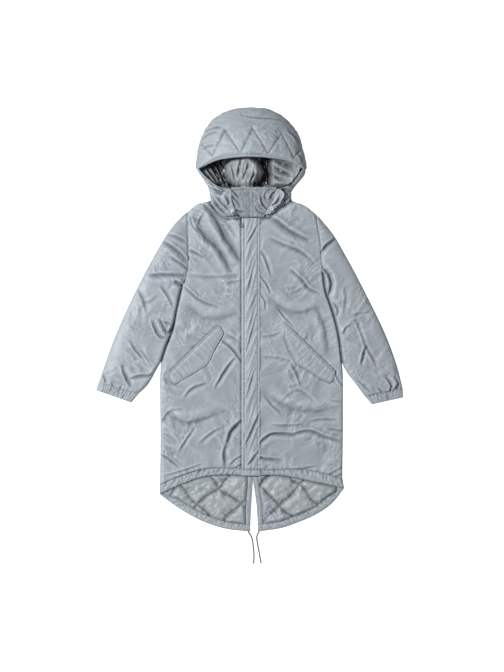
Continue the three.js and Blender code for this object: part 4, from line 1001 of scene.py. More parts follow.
def round_braid(tree, shader):
    """Two sets of slanting strands round a cord, painted lighter on the strands and darker between them."""
    strands = add_node(tree, "ShaderNodeUVMap", uv_map="cloth").outputs["UV"]
    parts = add_node(tree, "ShaderNodeSeparateXYZ", Vector=strands).outputs
    waves = []
    for lean in (900.0, -900.0):
        turned = maths(tree, "MULTIPLY", parts["Y"], lean)
        angle = maths(tree, "ADD", maths(tree, "MULTIPLY", parts["X"], 2 * math.pi * 4), turned)
        waves.append(maths(tree, "SINE", angle))
    braid = maths(tree, "MAXIMUM", *waves)
    # Painted light and shade: the colour follows the braid's height, darker between the strands and lighter
    # on them
    mix = add_node(tree, "ShaderNodeMix", data_type="RGBA")
    colour = cloth_settings().cord_colour
    dark, light = scaled_colour(colour, 0.6), scaled_colour(colour, 1.35)
    share = maths(tree, "MULTIPLY_ADD", braid, 0.5)
    for index, value in ((0, share), (6, dark), (7, light)):
        feed(tree, mix.inputs[index], value)
    bump = add_node(tree, "ShaderNodeBump", Strength=0.8, Distance=0.0004, Height=braid)
    feed_named(tree, shader, Base_Color=mix.outputs[2], Normal=bump.outputs["Normal"], Roughness=0.7)


def scratched_eyelet(tree, shader):
    place = object_place(tree)
    scratches = add_node(tree, "ShaderNodeTexNoise", Scale=900.0, Detail=3.0, Vector=place).outputs["Fac"]
    bump = add_node(tree, "ShaderNodeBump", Strength=0.3, Distance=0.0001, Height=scratches)
    feed_named(
        tree, shader, Base_Color=(0.93, 0.94, 0.95, 1.0), Metallic=0.1, Normal=bump.outputs["Normal"],
        Roughness=maths(tree, "MULTIPLY_ADD", scratches, 0.25, 0.14),
    )


def twisted_thread(tree, shader):
    """Sewing thread, a shade darker than the cloth."""
    place = object_place(tree)
    darker = scaled_colour(cloth_settings().shell_colour, 0.72)
    dye = placed_group(tree, "dye_drift_and_painted_shade", dye_drift_and_painted_shade_group, Vector=place, Colour=darker, Drift=0.3)
    twist = add_node(tree, "ShaderNodeTexNoise", Scale=1500.0, Vector=place).outputs["Fac"]
    bump = add_node(tree, "ShaderNodeBump", Strength=0.4, Distance=0.0001, Height=twist)
    feed_named(tree, shader, Base_Color=dye["Colour"], Normal=bump.outputs["Normal"], Roughness=0.6)


def glowing_floor(tree, shader):
    """A matt floor that shows white to the camera and doesn't light the coat."""
    place = object_place(tree)
    noise = add_node(tree, "ShaderNodeTexNoise", Scale=2.0, Vector=place).outputs["Fac"]
    seen = add_node(tree, "ShaderNodeLightPath").outputs["Is Camera Ray"]
    feed_named(
        tree, shader, Base_Color=(*stage_settings().floor_colour, 1.0), Specular_IOR_Level=0.1,
        Roughness=maths(tree, "MULTIPLY_ADD", noise, 0.1, 0.75), Emission_Color=(1.0, 1.0, 1.0, 1.0),
        Emission_Strength=maths(tree, "MULTIPLY", seen, stage_settings().floor_glow),
    )


# Surfaces that pieces share
def slow_swell(x, y):
    """Broad waves of the fronts, which the storm flap and the pocket flaps follow."""
    return 1.6 * RIPPLES[0].at(x / 150, y / 190)


def front_height(side_name, x, y):
    """Height of one front, without its rounded outer edges."""
    seams = SEAMS[side_name]
    armhole = away_from(along(seams["armhole"], 40), x, y)
    hem = away_from(along(seams["hem_seam"], 40), x, y)
    neck = away_from(along(seams["neckline"], 40), x, y)
    dips = 3.0 * soft_drop(armhole, 9) + 3.5 * soft_drop(hem, 12) + 12.0 * soft_drop(neck, 16)
    dips += 6.0 * soft_drop(np.abs(x - PLACKET["free_edge"] + 2.5), 5.5) * smooth(-x, 25, 28)
    flap = away_from(np.vstack([FLAPS[side_name][edge] for edge in ("top", "far")]), x, y)
    flap_low = away_from(FLAPS[side_name]["bottom"], x, y)
    dips += 3.4 * soft_drop(np.minimum(flap, flap_low), 5.0)
    beside_flap = smooth(np.abs(x), 18.0, 27.0)
    creases = crease_drop(FRONT_CREASES[side_name], x, y) * beside_flap
    swell = slow_swell(x, y) + 2.3 * RIPPLES[3].at(x / 62 + y / 160, y / 70 - x / 150)
    puckers = (
        seam_pucker(seams["armhole"], x, y, 1.6, 16, 15, 1)
        + seam_pucker(seams["hem_seam"], x, y, 2.6, 22, 17, 2)
        + seam_pucker(seams["neckline"], x, y, 1.8, 18, 16, 3)
    )
    beside_placket = seam_pucker([[31, 323], [31, -500]], x, y, 1.8, 20, 24, 4) * smooth(x, 27, 33)
    lean = -0.75 if side_name == "right" else 0.6
    return FRONT_TOP - dips - creases + swell + puckers + beside_placket + crumple(x, y, lean)


# Stage, camera and light
class CoatStageOperator(bpy.types.Operator):
    """Makes the plain floor, the soft light and the camera over the coat"""

    bl_idname = "coat.make_stage"
    bl_label = "Stage"

    def execute(self, context):
        scene = context.scene
        scene.view_settings.view_transform = "Standard"
        self.add_camera(scene)
        self.add_floor()
        self.add_light(scene)
        return {"FINISHED"}

    def add_camera(self, scene):
        lens = bpy.data.cameras.new("photo_camera")
        lens.lens = LENS["focal_length"]
        lens.sensor_width = LENS["sensor"]
        lens.clip_end = 60
        camera = bpy.data.objects.new("photo_camera", lens)
        scene.collection.objects.link(camera)
        shown = PHOTO["height"] * PHOTO["millimetres_per_pixel"] * MM
        distance = shown * LENS["focal_length"] / LENS["sensor"]
        camera.location = (PHOTO["centre_x"] * MM, PHOTO["centre_y"] * MM, distance + FRONT_TOP * MM)
        scene.camera = camera

    def add_floor(self):
        size = 14.0
        mesh = bpy.data.meshes.new("floor")
        corners = [(-size, -size, 0), (size, -size, 0), (size, size, 0), (-size, size, 0)]
        mesh.from_pydata(corners, [], [(0, 1, 2, 3)])
        floor = bpy.data.objects.new("floor", mesh)
        bpy.context.scene.collection.objects.link(floor)
        mesh.materials.append(shared_material("plain_floor", glowing_floor))

    def add_light(self, scene):
        world = bpy.data.worlds.new("even_light")
        world.use_nodes = True
        sky = world.node_tree.nodes["Background"]
        sky.inputs["Color"].default_value = (0.97, 0.985, 1.0, 1.0)
        sky.inputs["Strength"].default_value = stage_settings().sky_light
        scene.world = world
        lamps = (
            ("key_light", (-2.45, 0.95, 3.5), 0.9, stage_settings().key_light),
            ("front_light", (0.8, -3.0, 2.0), 1.8, 0.09 * stage_settings().key_light),
        )
        for name, place, size, power in lamps:
            lamp = bpy.data.lights.new(name, "AREA")
            lamp.shape = "DISK"
            lamp.size = size
            lamp.energy = power
            holder = bpy.data.objects.new(name, lamp)
            holder.location = place
            holder.rotation_euler = (-Vector(place)).to_track_quat("-Z", "Y").to_euler()
            scene.collection.objects.link(holder)


# Cords
def cord_mesh(name, route, radius, sides=12):
    """A round braid along a route, drawn in a little at both ends."""
    stretches = 110 if len(route) < 14 else 150
    line = along(catmull_rom(np.asarray(route) / MM), stretches)
    tangents = np.gradient(line, axis=0)
    tangents /= np.linalg.norm(tangents, axis=1)[:, None]
    side = np.cross(tangents[0], [0.0, 0.0, 1.0])
    side /= np.linalg.norm(side)
    rings, maps, run = [], [], 0.0
    last = len(line) - 1
    turns = np.linspace(0, 2 * math.pi, sides, endpoint=False)
    for index, (centre, tangent) in enumerate(zip(line, tangents)):
        side = side - tangent * side.dot(tangent)
        side /= np.linalg.norm(side)
        up = np.cross(side, tangent)
        from_end = min(index, last - index)
        size = radius * (0.72 if from_end == 0 else 1.0)
        rings.append(centre + size * (np.cos(turns)[:, None] * side + np.sin(turns)[:, None] * up))
        run += float(np.linalg.norm(line[index] - line[index - 1])) if index else 0.0
        maps.append(np.stack([turns / (2 * math.pi) / MM, np.full(sides, run)], axis=1))
    count = len(line) * sides
    index = np.arange(count).reshape(len(line), sides)
    ring = np.concatenate([index, index[:, :1]], axis=1)
    faces = grid_faces(ring).tolist()
    points = np.vstack(rings + [line[:1], line[-1:]])
    for tip, row in ((count, index[0]), (count + 1, index[-1, ::-1])):
        for a, b in zip(row, np.roll(row, -1)):
            faces.append([int(a), int(b), tip])
    cloth_map = np.vstack(maps + [maps[0][:1], maps[-1][:1]])
    return mesh_object(name, points, faces, shared_material("cord_yarn", round_braid), cloth_map)


class CoatCordsOperator(bpy.types.Operator):
    """Lays the two ends of the tail drawcord and the loop of the hood drawcord"""

    bl_idname = "coat.make_cords"
    bl_label = "Cords"

    def execute(self, context):
        thick = trim_settings().tail_cord_thickness
        for name, route in TAIL_CORD_ROUTES.items():
            self.lay_cord(f"tail_cord_{name}", route, thick, "bare")
        self.lay_cord("hood_cord", HOOD_CORD_ROUTE, trim_settings().hood_cord_thickness, "object")
        return {"FINISHED"}

    def lay_cord(self, name, route, thick, far_end):
        made = cord_mesh(f"{name}_braid", route, thick / 2 / MM)
        stand_for(made, name)


# Back panels, flat where they rest
def under_panel(name, patch):
    """A padded layer that rests on the floor: flat underneath, with its rim rolled up a little."""
    rim = patch.rim_distance()
    upper = BACK_THICKNESS - 0.8 * rounded_drop(rim, 6.0)
    under = 2.6 * rounded_drop(rim, 9.0)
    sew_sheet(name, patch, upper, under, bulge=0.6)


class CoatBacksOperator(bpy.types.Operator):
    """Cuts the two halves of the back with the fishtail"""

    bl_idname = "coat.make_backs"
    bl_label = "Back and fishtail"

    def execute(self, context):
        step = 2 * shape_settings().cloth_step
        neck = catmull_rom(BACK_NECK)
        for side in SIDES:
            seams = SEAMS[side["name"]]
            right_half = neck[:, 0] < CENTRE_BACK["x"]
            half = neck[right_half][::-1] if side is RIGHT else neck[~right_half]
            neck_point, vent_top = ([CENTRE_BACK["x"], CENTRE_BACK[place]] for place in ("neck", "vent_top"))
            top = np.vstack([[neck_point], half])
            centre = chain(straight(neck_point, vent_top, 40), seams["vent_edge"][1:])
            outer = chain(
                seams["shoulder"], seams["armhole"], seams["underarm"], seams["side"],
                straight(side["tail_side"][0], side["tail_side"][1], 4), seams["tail_edge"][:8],
            )
            patch = patch_between(top[::-1], seams["tail_edge"][7:], outer, centre, step)
            under_panel(f"back_{side['name']}", patch)
        return {"FINISHED"}


# Fronts
class CoatFrontsOperator(bpy.types.Operator):
    """Cuts the two fronts, with their creases and puckered seams"""

    bl_idname = "coat.make_fronts"
    bl_label = "Fronts"

    def execute(self, context):
        for side in SIDES:
            name = side["name"]
            seams = SEAMS[name]
            near = chain(seams["shoulder"], seams["armhole"], seams["underarm"], seams["side"])
            neck, hem = seams["neckline"], seams["hem_seam"]
            far = straight(neck[-1], hem[-1], 40)
            patch = patch_between(neck, hem, near, far, shape_settings().cloth_step)
            height = front_height(name, patch.x, patch.y)
            shoulder = away_from(along(seams["shoulder"], 20), patch.x, patch.y)
            side_seam = away_from(along(seams["side"], 30), patch.x, patch.y)
            underarm = away_from(along(seams["underarm"], 30), patch.x, patch.y)
            edge = np.maximum(8.5 * rounded_drop(shoulder, 22), 8.5 * rounded_drop(side_seam, 15))
            edge = np.maximum(edge, 11.0 * rounded_drop(underarm, 9))
            edge += seam_pucker(seams["side"], patch.x, patch.y, 1.3, 14, 22, 5)
            height = np.maximum(SECOND_LAYER + THINNEST_WALL, height - edge)
            from_neck = away_from(along(neck, 30), patch.x, patch.y)
            # Painted shade in the underarm crease and along the neckline fold
            painted_seam_shade = 1.7 * bell(underarm, 4.0) + 1.1 * bell(from_neck, 7.0)
            sew_sheet(f"front_{name}", patch, height, SECOND_LAYER, extra_painted_shade=painted_seam_shade)
        return {"FINISHED"}


def gathered_band(v, place, height, spacing, ripple):
    """Height of a gathered channel: fuller in the middle, with short irregular puckers."""
    crown = np.sin(math.pi * np.clip(v, 0.04, 0.96)) ** 0.6
    wave = RIPPLES[ripple].at(place / spacing + 1.4 * v, v * 1.2 + 5.1)
    wave = wave + 0.7 * RIPPLES[(ripple + 2) % 6].at(place / (0.5 * spacing) - 1.1 * v, v * 2.3)
    return height * crown + 1.4 * height * wave * (0.35 + 0.65 * crown)


class CoatHemOperator(bpy.types.Operator):
    """Sews the gathered channel along the hem of each front"""

    bl_idname = "coat.make_front_hem"
    bl_label = "Front hem channel"

    def execute(self, context):
        for index, side in enumerate(SIDES):
            name = side["name"]
            seams = SEAMS[name]
            top, bottom = seams["hem_seam"], seams["hem_edge"]
            ends = [straight(top[end], bottom[end], 4) for end in (0, -1)]
            patch = patch_between(top, bottom, *ends, shape_settings().trim_step)
            place = patch.u * length_of(top)
            band = gathered_band(patch.v, place, 3.4, 9.0, index)
            calm = smooth(np.abs(patch.x), 28, 40)
            band = 3.0 + (band - 3.0) * (0.3 + 0.7 * calm)
            side_drop = 6.0 * rounded_drop(place, 20)
            hem_roll = 4.5 * rounded_drop((1 - patch.v) * HEM_BAND_WIDTH, 5)
            height = np.maximum(SECOND_LAYER + THINNEST_WALL, 12.6 + band - side_drop - hem_roll)
            # Painted shade along the edges and seams of the band
            painted_seam_shade = 0.8 * np.exp(-patch.rim_distance() / 4)
            sew_sheet(f"front_hem_{name}", patch, height, SECOND_LAYER, bulge=1.2, extra_painted_shade=painted_seam_shade)
        return {"FINISHED"}


# Storm flap
def placket_patch():
    left, right = PLACKET["free_edge"], PLACKET["sewn_edge"]
    high, low = PLACKET["top"], PLACKET["bottom"]
    corners = [left, high], [right, high], [left, low], [right, low]
    return four_sided_patch(*corners, shape_settings().trim_step, gap=0)


PLACKET_STITCH_X = (-20.5, 22.0, 29.5)
PLACKET_CREASES = {
    "low_slant": ([(28, -302), (6, -350), (-16, -402)], 6, 6.5),
    "low_pull": ([(28, -420), (8, -446), (-10, -468)], 6, 5.0),
    "neck_pull": ([(22, 300), (4, 268), (-12, 240)], 5, 3.8),
    "chest_pull": ([(16, 190), (2, 140), (-8, 96)], 5, 2.6),
    "waist_pull": ([(20, 20), (4, -40), (-14, -110)], 5, 3.0),
    "flap_pull": ([(18, -150), (4, -190), (-12, -250)], 5, 2.6),
}


def placket_height(x, y):
    """Top of the storm flap: a rolled free edge, slanting puckers and the sewn lines."""
    left, right = PLACKET["free_edge"], PLACKET["sewn_edge"]
    first, second = PLACKET_STITCH_X[:2]
    inside = np.sin(math.pi * np.clip((x - first) / (second - first), 0, 1))
    slant = x - 0.36 * y
    wave = RIPPLES[1].at(slant / 12 + 2.1, y / 95) + 0.7 * RIPPLES[3].at(slant / 6.5, y / 55 + 1.7)
    ridges = 0.35 - np.abs(RIPPLES[4].at((x - 0.3 * y) / 15, y / 140 + 4.2))
    pucker = (3.4 * wave + 4.2 * ridges) * inside**0.6
    grooves = sum(1.3 * bell(x - line, 1.9) for line in PLACKET_STITCH_X)
    grooves += crease_drop(PLACKET_CREASES, x, y)
    grooves += 2.6 * bell(y - PLACKET["hem_line"], 2.4)
    ticks = sum(
        1.3 * RIPPLES[2].at(y / 8.0, np.full_like(x, line)) * bell(x - line, 4.5)
        for line in PLACKET_STITCH_X
    )
    below_hem = smooth(-y, 480, 484)
    hem_width = PLACKET["hem_line"] - PLACKET["bottom"]
    hem = gathered_band(np.clip((PLACKET["hem_line"] - y) / hem_width, 0, 1), x + 40, 1.6, 9.0, 3)
    roll = 2.6 * rounded_drop(x - left, 4.0) + 3.0 * rounded_drop(right - x, 3.0)
    roll += 3.0 * rounded_drop(y - PLACKET["bottom"], 5.0)
    puckered = (0.7 * inside + pucker) * (1 - below_hem) + hem * below_hem
    return front_base(x, y) + PLACKET["thickness"] + puckered - grooves + ticks - roll


def front_base(x, y):
    """The fronts under the storm flap, smoothed: only their slow swell and the dip at the hem."""
    return FRONT_TOP + slow_swell(x, y) - 1.4 * smooth(-y, 470, 488)


class CoatPlacketOperator(bpy.types.Operator):
    """Sews the storm flap over the front zip"""

    bl_idname = "coat.make_placket"
    bl_label = "Storm flap"

    def execute(self, context):
        patch = placket_patch()
        top = placket_height(patch.x, patch.y)
        under = np.full_like(top, FRONT_TOP - 1.2)
        sew_sheet("placket", patch, top, under, bulge=0.5)
        return {"FINISHED"}


# Pocket flaps
def flap_patch(side_name):
    edges = FLAPS[side_name]
    lines = [catmull_rom(edges[edge]) for edge in ("top", "bottom", "near", "far")]
    return patch_between(*lines, shape_settings().trim_step, gap=0)


def flap_height(side_name, x, y, rim):
    base = FRONT_TOP + slow_swell(x, y) - 0.3
    top_line = away_from(FLAPS[side_name]["top"], x, y)
    roll = 2.8 * rounded_drop(rim, 3.0) + 1.0 * rounded_drop(top_line, 6.0)
    groove = 1.0 * bell(rim - 6.5, 1.8) + 1.2 * bell(top_line - 6.5, 1.8)
    across = x * 0.72 + y * 0.69 if side_name == "right" else x * 0.72 - y * 0.69
    square = y * 0.72 - x * 0.69 if side_name == "right" else y * 0.72 + x * 0.69
    wave = RIPPLES[2].at(across / 12, square / 46) + 0.7 * RIPPLES[4].at(across / 6.5 + 3, square / 27)
    inside = smooth(rim, 2, 12)
    return base + FLAP_THICKNESS + 1.2 * inside + 1.8 * wave * (0.25 + 0.75 * inside) - groove - roll


class CoatFlapsOperator(bpy.types.Operator):
    """Sews the slanting pocket flaps"""

    bl_idname = "coat.make_flaps"
    bl_label = "Pocket flaps"

    def execute(self, context):
        for side in SIDES:
            name = side["name"]
            patch = flap_patch(name)
            outline = along(np.vstack([patch.outline, patch.outline[:1]]), 90)
            rim = away_from(outline, patch.x, patch.y)
            top = flap_height(name, patch.x, patch.y, rim)
            under = np.full_like(top, FRONT_TOP - 1.4)
            # Painted shade along the flap's outline
            turned = 1.3 * bell(rim, 2.2)
            piece = f"pocket_flap_{name}"
            sew_sheet(piece, patch, top, under, bulge=0.4, extra_painted_shade=turned)
        return {"FINISHED"}


# Sleeves and cuffs
def sleeve_patch(side, step):
    seams = SEAMS[side["name"]]
    near = chain(seams["armhole"], seams["underarm"], seams["sleeve_inner"])
    far = seams["sleeve_outer"]
    return patch_between(straight(near[0], far[0], 4), straight(near[-1], far[-1], 4), near, far, step)


def sleeve_height(side, patch):
    """Upper side of a sleeve: full in the middle, joined to the front along the armhole."""
    name = side["name"]
    seams = SEAMS[name]
    x, y, v = patch.x, patch.y, patch.v
    outer = away_from(along(seams["sleeve_outer"], 50), x, y)
    armhole = away_from(along(seams["armhole"], 40), x, y)
    inner_line = chain(seams["underarm"], seams["sleeve_inner"])
    inner = away_from(along(inner_line, 60), x, y)
    fullness = SLEEVE_TOP - SECOND_LAYER - 3.0
    cap = 1 - 0.42 * soft_drop(armhole, 60)
    height = SECOND_LAYER + 3.0 + fullness * cap
    height -= (fullness + 0.4) * np.where(outer < 40, rounded_drop(outer, 34), 0)
    height -= 16.0 * rounded_drop(inner, 13) * smooth(armhole, 0, 24)
    height -= 3.0 * soft_drop(armhole, 8)
    height -= 3.5 * soft_drop((1 - v) * length_of(seams["sleeve_outer"]), 34)
    height -= crease_drop(SLEEVE_CREASES[name], x, y)
    height += seam_pucker(seams["armhole"], x, y, 2.2, 16, 15, 4)
    height += seam_pucker(inner_line, x, y, 2.4, 22, 19, 2)
    height += seam_pucker(seams["sleeve_outer"], x, y, 1.1, 20, 30, 3)
    cuff_line = straight([x[-1, 0], y[-1, 0]], [x[-1, -1], y[-1, -1]], 8)
    height += seam_pucker(cuff_line, x, y, 5.0, 26, 15, 1)
    height += 2.0 * RIPPLES[5].at(x / 110, y / 130)
    lean = -1.0 if name == "right" else 1.0
    height += crumple(x, y, lean)
    return np.maximum(SECOND_LAYER + THINNEST_WALL, height)


class CoatSleevesOperator(bpy.types.Operator):
    """Cuts the upper and under side of each sleeve"""

    bl_idname = "coat.make_sleeves"
    bl_label = "Sleeves"

    def execute(self, context):
        for side in SIDES:
            name = side["name"]
            patch = sleeve_patch(side, shape_settings().cloth_step)
            height = sleeve_height(side, patch)
            away = away_from(along(SEAMS[name]["underarm"], 40), patch.x, patch.y)
            # Painted shade in the crease along the underarm
            painted_underarm_shade = 1.9 * bell(away, 5.5)
            upper, lower = f"sleeve_{name}_upper", f"sleeve_{name}_under"
            sew_sheet(upper, patch, height, SECOND_LAYER, bulge=0.5, extra_painted_shade=painted_underarm_shade)
            under = sleeve_patch(side, 2 * shape_settings().cloth_step)
            under_panel(lower, under)
        return {"FINISHED"}


def cuff_patch(side, step):
    seams = SEAMS[side["name"]]
    return four_sided_patch(seams["sleeve_inner"][-1], seams["sleeve_outer"][-1], *side["cuff_end"], step)


class CoatCuffsOperator(bpy.types.Operator):
    """Gathers the elastic cuffs"""

    bl_idname = "coat.make_cuffs"
    bl_label = "Cuffs"

    def execute(self, context):
        for index, side in enumerate(SIDES):
            name = side["name"]
            patch = cuff_patch(side, 0.75 * shape_settings().trim_step)
            width = length_of([[patch.x[0, 0], patch.y[0, 0]], [patch.x[0, -1], patch.y[0, -1]]])
            place = patch.u * width
            rounded = np.sqrt(np.clip(1 - (2 * patch.u - 1) ** 4, 0, 1))
            wave = RIPPLES[index].at(place / 6.5 + 0.8 * patch.v, patch.v * 0.9)
            wave = wave + 0.6 * RIPPLES[index + 2].at(place / 3.6 - patch.v, patch.v * 1.6)
            deep = -np.abs(RIPPLES[index + 3].at(place / 8.0, patch.v * 0.7))
            gathers = (4.2 * wave + 5.0 * deep) * rounded
            roll = 3.0 * rounded_drop((1 - patch.v) * CUFF_LENGTH, 5)
            height = SECOND_LAYER + 4.0 + 9.5 * rounded + gathers - roll
            height = np.maximum(SECOND_LAYER + THINNEST_WALL, height)
            lower = f"cuff_{name}_under"
            sew_sheet(f"cuff_{name}_upper", patch, height, SECOND_LAYER, bulge=1.0)
            under = cuff_patch(side, 2 * shape_settings().trim_step)
            under_panel(lower, under)
        return {"FINISHED"}


# Inside of the fishtail
def vent_x(side, y):
    edge = np.asarray(side["vent_edge"], float)[::-1]
    return np.interp(y, edge[:, 1], edge[:, 0])


def tail_lines(side):
    """Inner line of the hem channel and the corner where it meets the vent."""
    inwards = -1 if side is RIGHT else 1
    outer = along(SEAMS[side["name"]]["tail_edge"], 48)
    run = np.gradient(outer, axis=0)
    run /= np.linalg.norm(run, axis=1)[:, None]
    width = TAIL_BAND_WIDTH * np.minimum(1, 0.1 + np.arange(len(outer)) / 9)
    inner = outer + np.stack([inwards * run[:, 1], -inwards * run[:, 0]], axis=1) * width[:, None]
    inner[-1] = [outer[-1, 0], inner[-1, 1]]
    return inner, outer, inwards


def quilt_distance(x, y):
    """Distance from the nearest quilting line, and from each of the two slanting sets, which wander."""
    sets = []
    x, y = x + 15 * RIPPLES[4].at(x / 62, y / 62), y + 15 * RIPPLES[1].at(x / 62, y / 62)
    for along_line in (x * 0.68 + y * 0.73 + 20, x * 0.68 - y * 0.73 + 30):
        turns = along_line / TAIL_QUILT_PITCH
        sets.append(np.abs(turns - np.round(turns)) * TAIL_QUILT_PITCH)
    return np.minimum(*sets), sets[0], sets[1]


class CoatTailOperator(bpy.types.Operator):
    """Finishes the inside of the fishtail: quilted lining, hem channel and vent facings"""

    bl_idname = "coat.make_tail"
    bl_label = "Fishtail lining"

    def execute(self, context):
        for index, side in enumerate(SIDES):
            inner, outer, inwards = tail_lines(side)
            self.add_channel(side, inner, outer, index)
            self.add_facing(side, inner[-1], inwards)
            self.add_lining(side, inner, inwards)
        return {"FINISHED"}

    def add_channel(self, side, inner, outer, index):
        name = side["name"]
        ends = [straight(inner[end], outer[end], 3) for end in (0, -1)]
        patch = patch_between(inner, outer, *ends, shape_settings().trim_step)
        band = gathered_band(patch.v, patch.u * length_of(outer), 2.6, 8.5, index + 2)
        roll = 3.6 * rounded_drop((1 - patch.v) * TAIL_BAND_WIDTH, 5)
        height = np.maximum(SECOND_LAYER + 1.2, 9.2 + band - roll)
        sew_sheet(f"tail_channel_{name}", patch, height, SECOND_LAYER, bulge=1.2)

    def add_facing(self, side, vent_bottom, inwards):
        name = side["name"]
        ys = np.linspace(-505, vent_bottom[1] + 2.5, 24)
        slit = np.stack([vent_x(side, ys) + inwards * 0.4, ys], axis=1)
        lining = np.stack([vent_x(side, ys) + inwards * FACING_WIDTH, ys], axis=1)
        ends = [straight(slit[end], lining[end], 3) for end in (0, -1)]
        patch = patch_between(*ends, slit, lining, 0.8 * shape_settings().trim_step)
        crown = np.sin(math.pi * np.clip(patch.u, 0.03, 0.97)) ** 0.6
        wave = RIPPLES[3].at(patch.y / 15 + patch.u, patch.u * 1.5)
        groove = 0.8 * bell(patch.u - 0.3, 0.09)
        height = 9.3 + 1.9 * crown + 1.4 * wave * crown - groove
        sew_sheet(f"vent_facing_{name}", patch, height, SECOND_LAYER, bulge=0.8)

    def add_lining(self, side, inner, inwards):
        name = side["name"]
        edge = FACING_WIDTH + SEAM_GAP
        hem = SEAMS[name]["hem_edge"] + [0, -0.7]
        band = inner + [0, 1.0]
        reach = inwards * inner[3, 0] - 4

        def beside(line):
            keep = (inwards * line[:, 0] > inwards * (vent_x(side, line[:, 1]) + inwards * edge) + 3)
            keep &= inwards * line[:, 0] < reach
            return line[keep]

        top_y, bottom_y = -505.0, inner[-1, 1] + 2.5
        ys = np.linspace(top_y, bottom_y, 20)
        facing = np.stack([vent_x(side, ys) + inwards * edge, ys], axis=1)
        top = np.vstack([beside(hem), facing[:1]])
        bottom = np.vstack([beside(band), facing[-1:]])
        near = straight(top[0], bottom[0], 4)
        patch = patch_between(top, bottom, near, facing, 0.8 * shape_settings().cloth_step)
        away, first, second = quilt_distance(patch.x, patch.y)
        rim = smooth(patch.rim_distance(), 0, 9)
        slant, other = patch.x + patch.y, patch.x - patch.y
        pulls = 4.6 * RIPPLES[0].at(slant / 9, other / 26) * np.exp(-second / 16)
        pulls += 4.6 * RIPPLES[1].at(other / 9, slant / 26) * np.exp(-first / 16)
        rumple = 4.5 * RIPPLES[2].at(slant / 34, other / 26) + crumple(patch.x, patch.y, 0.6, 0.75)
        puff = 11.0 * (1 - np.exp(-away / 8.0)) * (0.45 + 0.55 * rim)
        puff -= 1.5 * np.exp(-first / 2.4) + 1.8 * np.exp(-second / 2.4)
        height = SECOND_LAYER + 1.8 + puff + (pulls + rumple) * (0.3 + 0.7 * rim)
        height = np.maximum(SECOND_LAYER + 1.5, height)
        # Painted shade near every edge of the lining
        shaded = 0.9 * np.exp(-patch.rim_distance() / 7)
        node = f"tail_lining_{name}"
        made = wall_from(patch, height, SECOND_LAYER, f"{node}_cloth", lining_cloth(), extra_painted_shade=shaded)
        stand_for(made, node)


# Hood shell
def shell_points(edge, foot, rise, part, shift):
    """Points of the hood: a quarter ellipse from the face edge down to the foot, moved out by shift."""
    run = foot - edge
    reach = np.linalg.norm(run, axis=-1)
    climb = rise - SECOND_LAYER
    angle = part * math.pi / 2
    outwards, upwards = climb * np.sin(angle), reach * np.cos(angle)
    size = np.hypot(outwards, upwards)
    forward = reach * np.sin(angle) + shift * outwards / size
    height = climb * np.cos(angle) + shift * upwards / size
    plan = edge + run * (forward / reach)[..., None]
    return np.concatenate([plan, (SECOND_LAYER + np.maximum(0, height))[..., None]], axis=-1)


def hood_sections(places):
    edge = along(catmull_rom(HOOD_EDGE), 400)
    foot = along(catmull_rom(HOOD_FOOT), 400)
    pick = places * 400
    steps = np.arange(401)
    edge = np.stack([np.interp(pick, steps, edge[:, k]) for k in (0, 1)], axis=-1)
    foot = np.stack([np.interp(pick, steps, foot[:, k]) for k in (0, 1)], axis=-1)
    swell = np.sin(math.pi * np.clip(places, 0, 1)) ** 0.8
    rise = HOOD_RISE["corner"] + (HOOD_RISE["crown"] - HOOD_RISE["corner"]) * swell
    wall = HOOD_WALL["corner"] + (HOOD_WALL["crown"] - HOOD_WALL["corner"]) * swell
    return edge, foot, rise, wall


def brim_seam(places):
    """Part of the way to the foot where the brim ends and the crown panels begin."""
    first, last = CROWN_PLACES["first"], CROWN_PLACES["last"]
    along_seam = np.clip((places - first) / (last - first), 0, 1)
    return 1 - (1 - BRIM_SEAM_AT_CENTRE) * np.sin(math.pi * along_seam) ** 0.9


def crown_split(places):
    """Where the seam between the centre panel and the left crown panel runs."""
    split, last = CROWN_PLACES["split"], CROWN_PLACES["last"]
    start = brim_seam(places)
    share = 0.12 + 0.38 * np.clip((places - split) / (last - split), 0, 1)
    return np.where(places < split, 1.0, 1 - (1 - start) * share)


def hood_panel(node, places, start, end, rows, lift):
    """One padded panel of the hood shell between two lines, as a closed wall."""
    edge, foot, rise, wall = hood_sections(places)
    share = np.linspace(0, 1, rows + 1)[:, None]
    part = start[None] * (1 - share) + end[None] * share
    *grid, wall = [np.broadcast_to(a, part.shape + a.shape[1:]) for a in (edge, foot, rise, wall)]
    plan = shell_points(*grid, part, np.zeros(part.shape))
    from_start, from_end = (part - start[None]) * HOOD_REACH, (end[None] - part) * HOOD_REACH
    seams = 8.0 * rounded_drop(np.minimum(from_start, from_end), 8.0)
    shift = lift(np.broadcast_to(places, part.shape), part, plan) - seams
    upper = shell_points(*grid, part, shift)
    under = shell_points(*grid, part, np.minimum(-wall * 0.8, shift - 1.5))
    grain = np.stack([np.broadcast_to(places * HOOD_SPAN, part.shape), part * HOOD_REACH], axis=-1)
    # Painted shade: a little over the whole hood panel, and more beside its seams with the other panels
    painted_seam_shade = np.where(start[None] > 0, bell(from_start, 4.5), 0)
    painted_seam_shade = np.maximum(painted_seam_shade, np.where(end[None] < 1, bell(from_end, 4.5), 0))
    depth = 0.15 + 1.1 * painted_seam_shade
    piece = f"{node}_cloth"
    made = closed_cloth(piece, upper, under, shell_cloth(), grain=grain, stride=3, extra_painted_shade=depth)
    stand_for(made, node)


BRIM_CREASES = {
    "seam_left": ([(-150, 596), (-126, 606), (-92, 610)], 6, 4.0),
    "seam_left_2": ([(-158, 572), (-136, 588), (-104, 596)], 6, 3.4),
    "side_left": ([(-160, 540), (-140, 548), (-112, 552)], 6, 3.0),
    "side_right": ([(118, 600), (140, 578), (154, 552)], 7, 3.6),
    "side_right_2": ([(146, 530), (158, 512), (163, 496)], 6, 2.6),
}


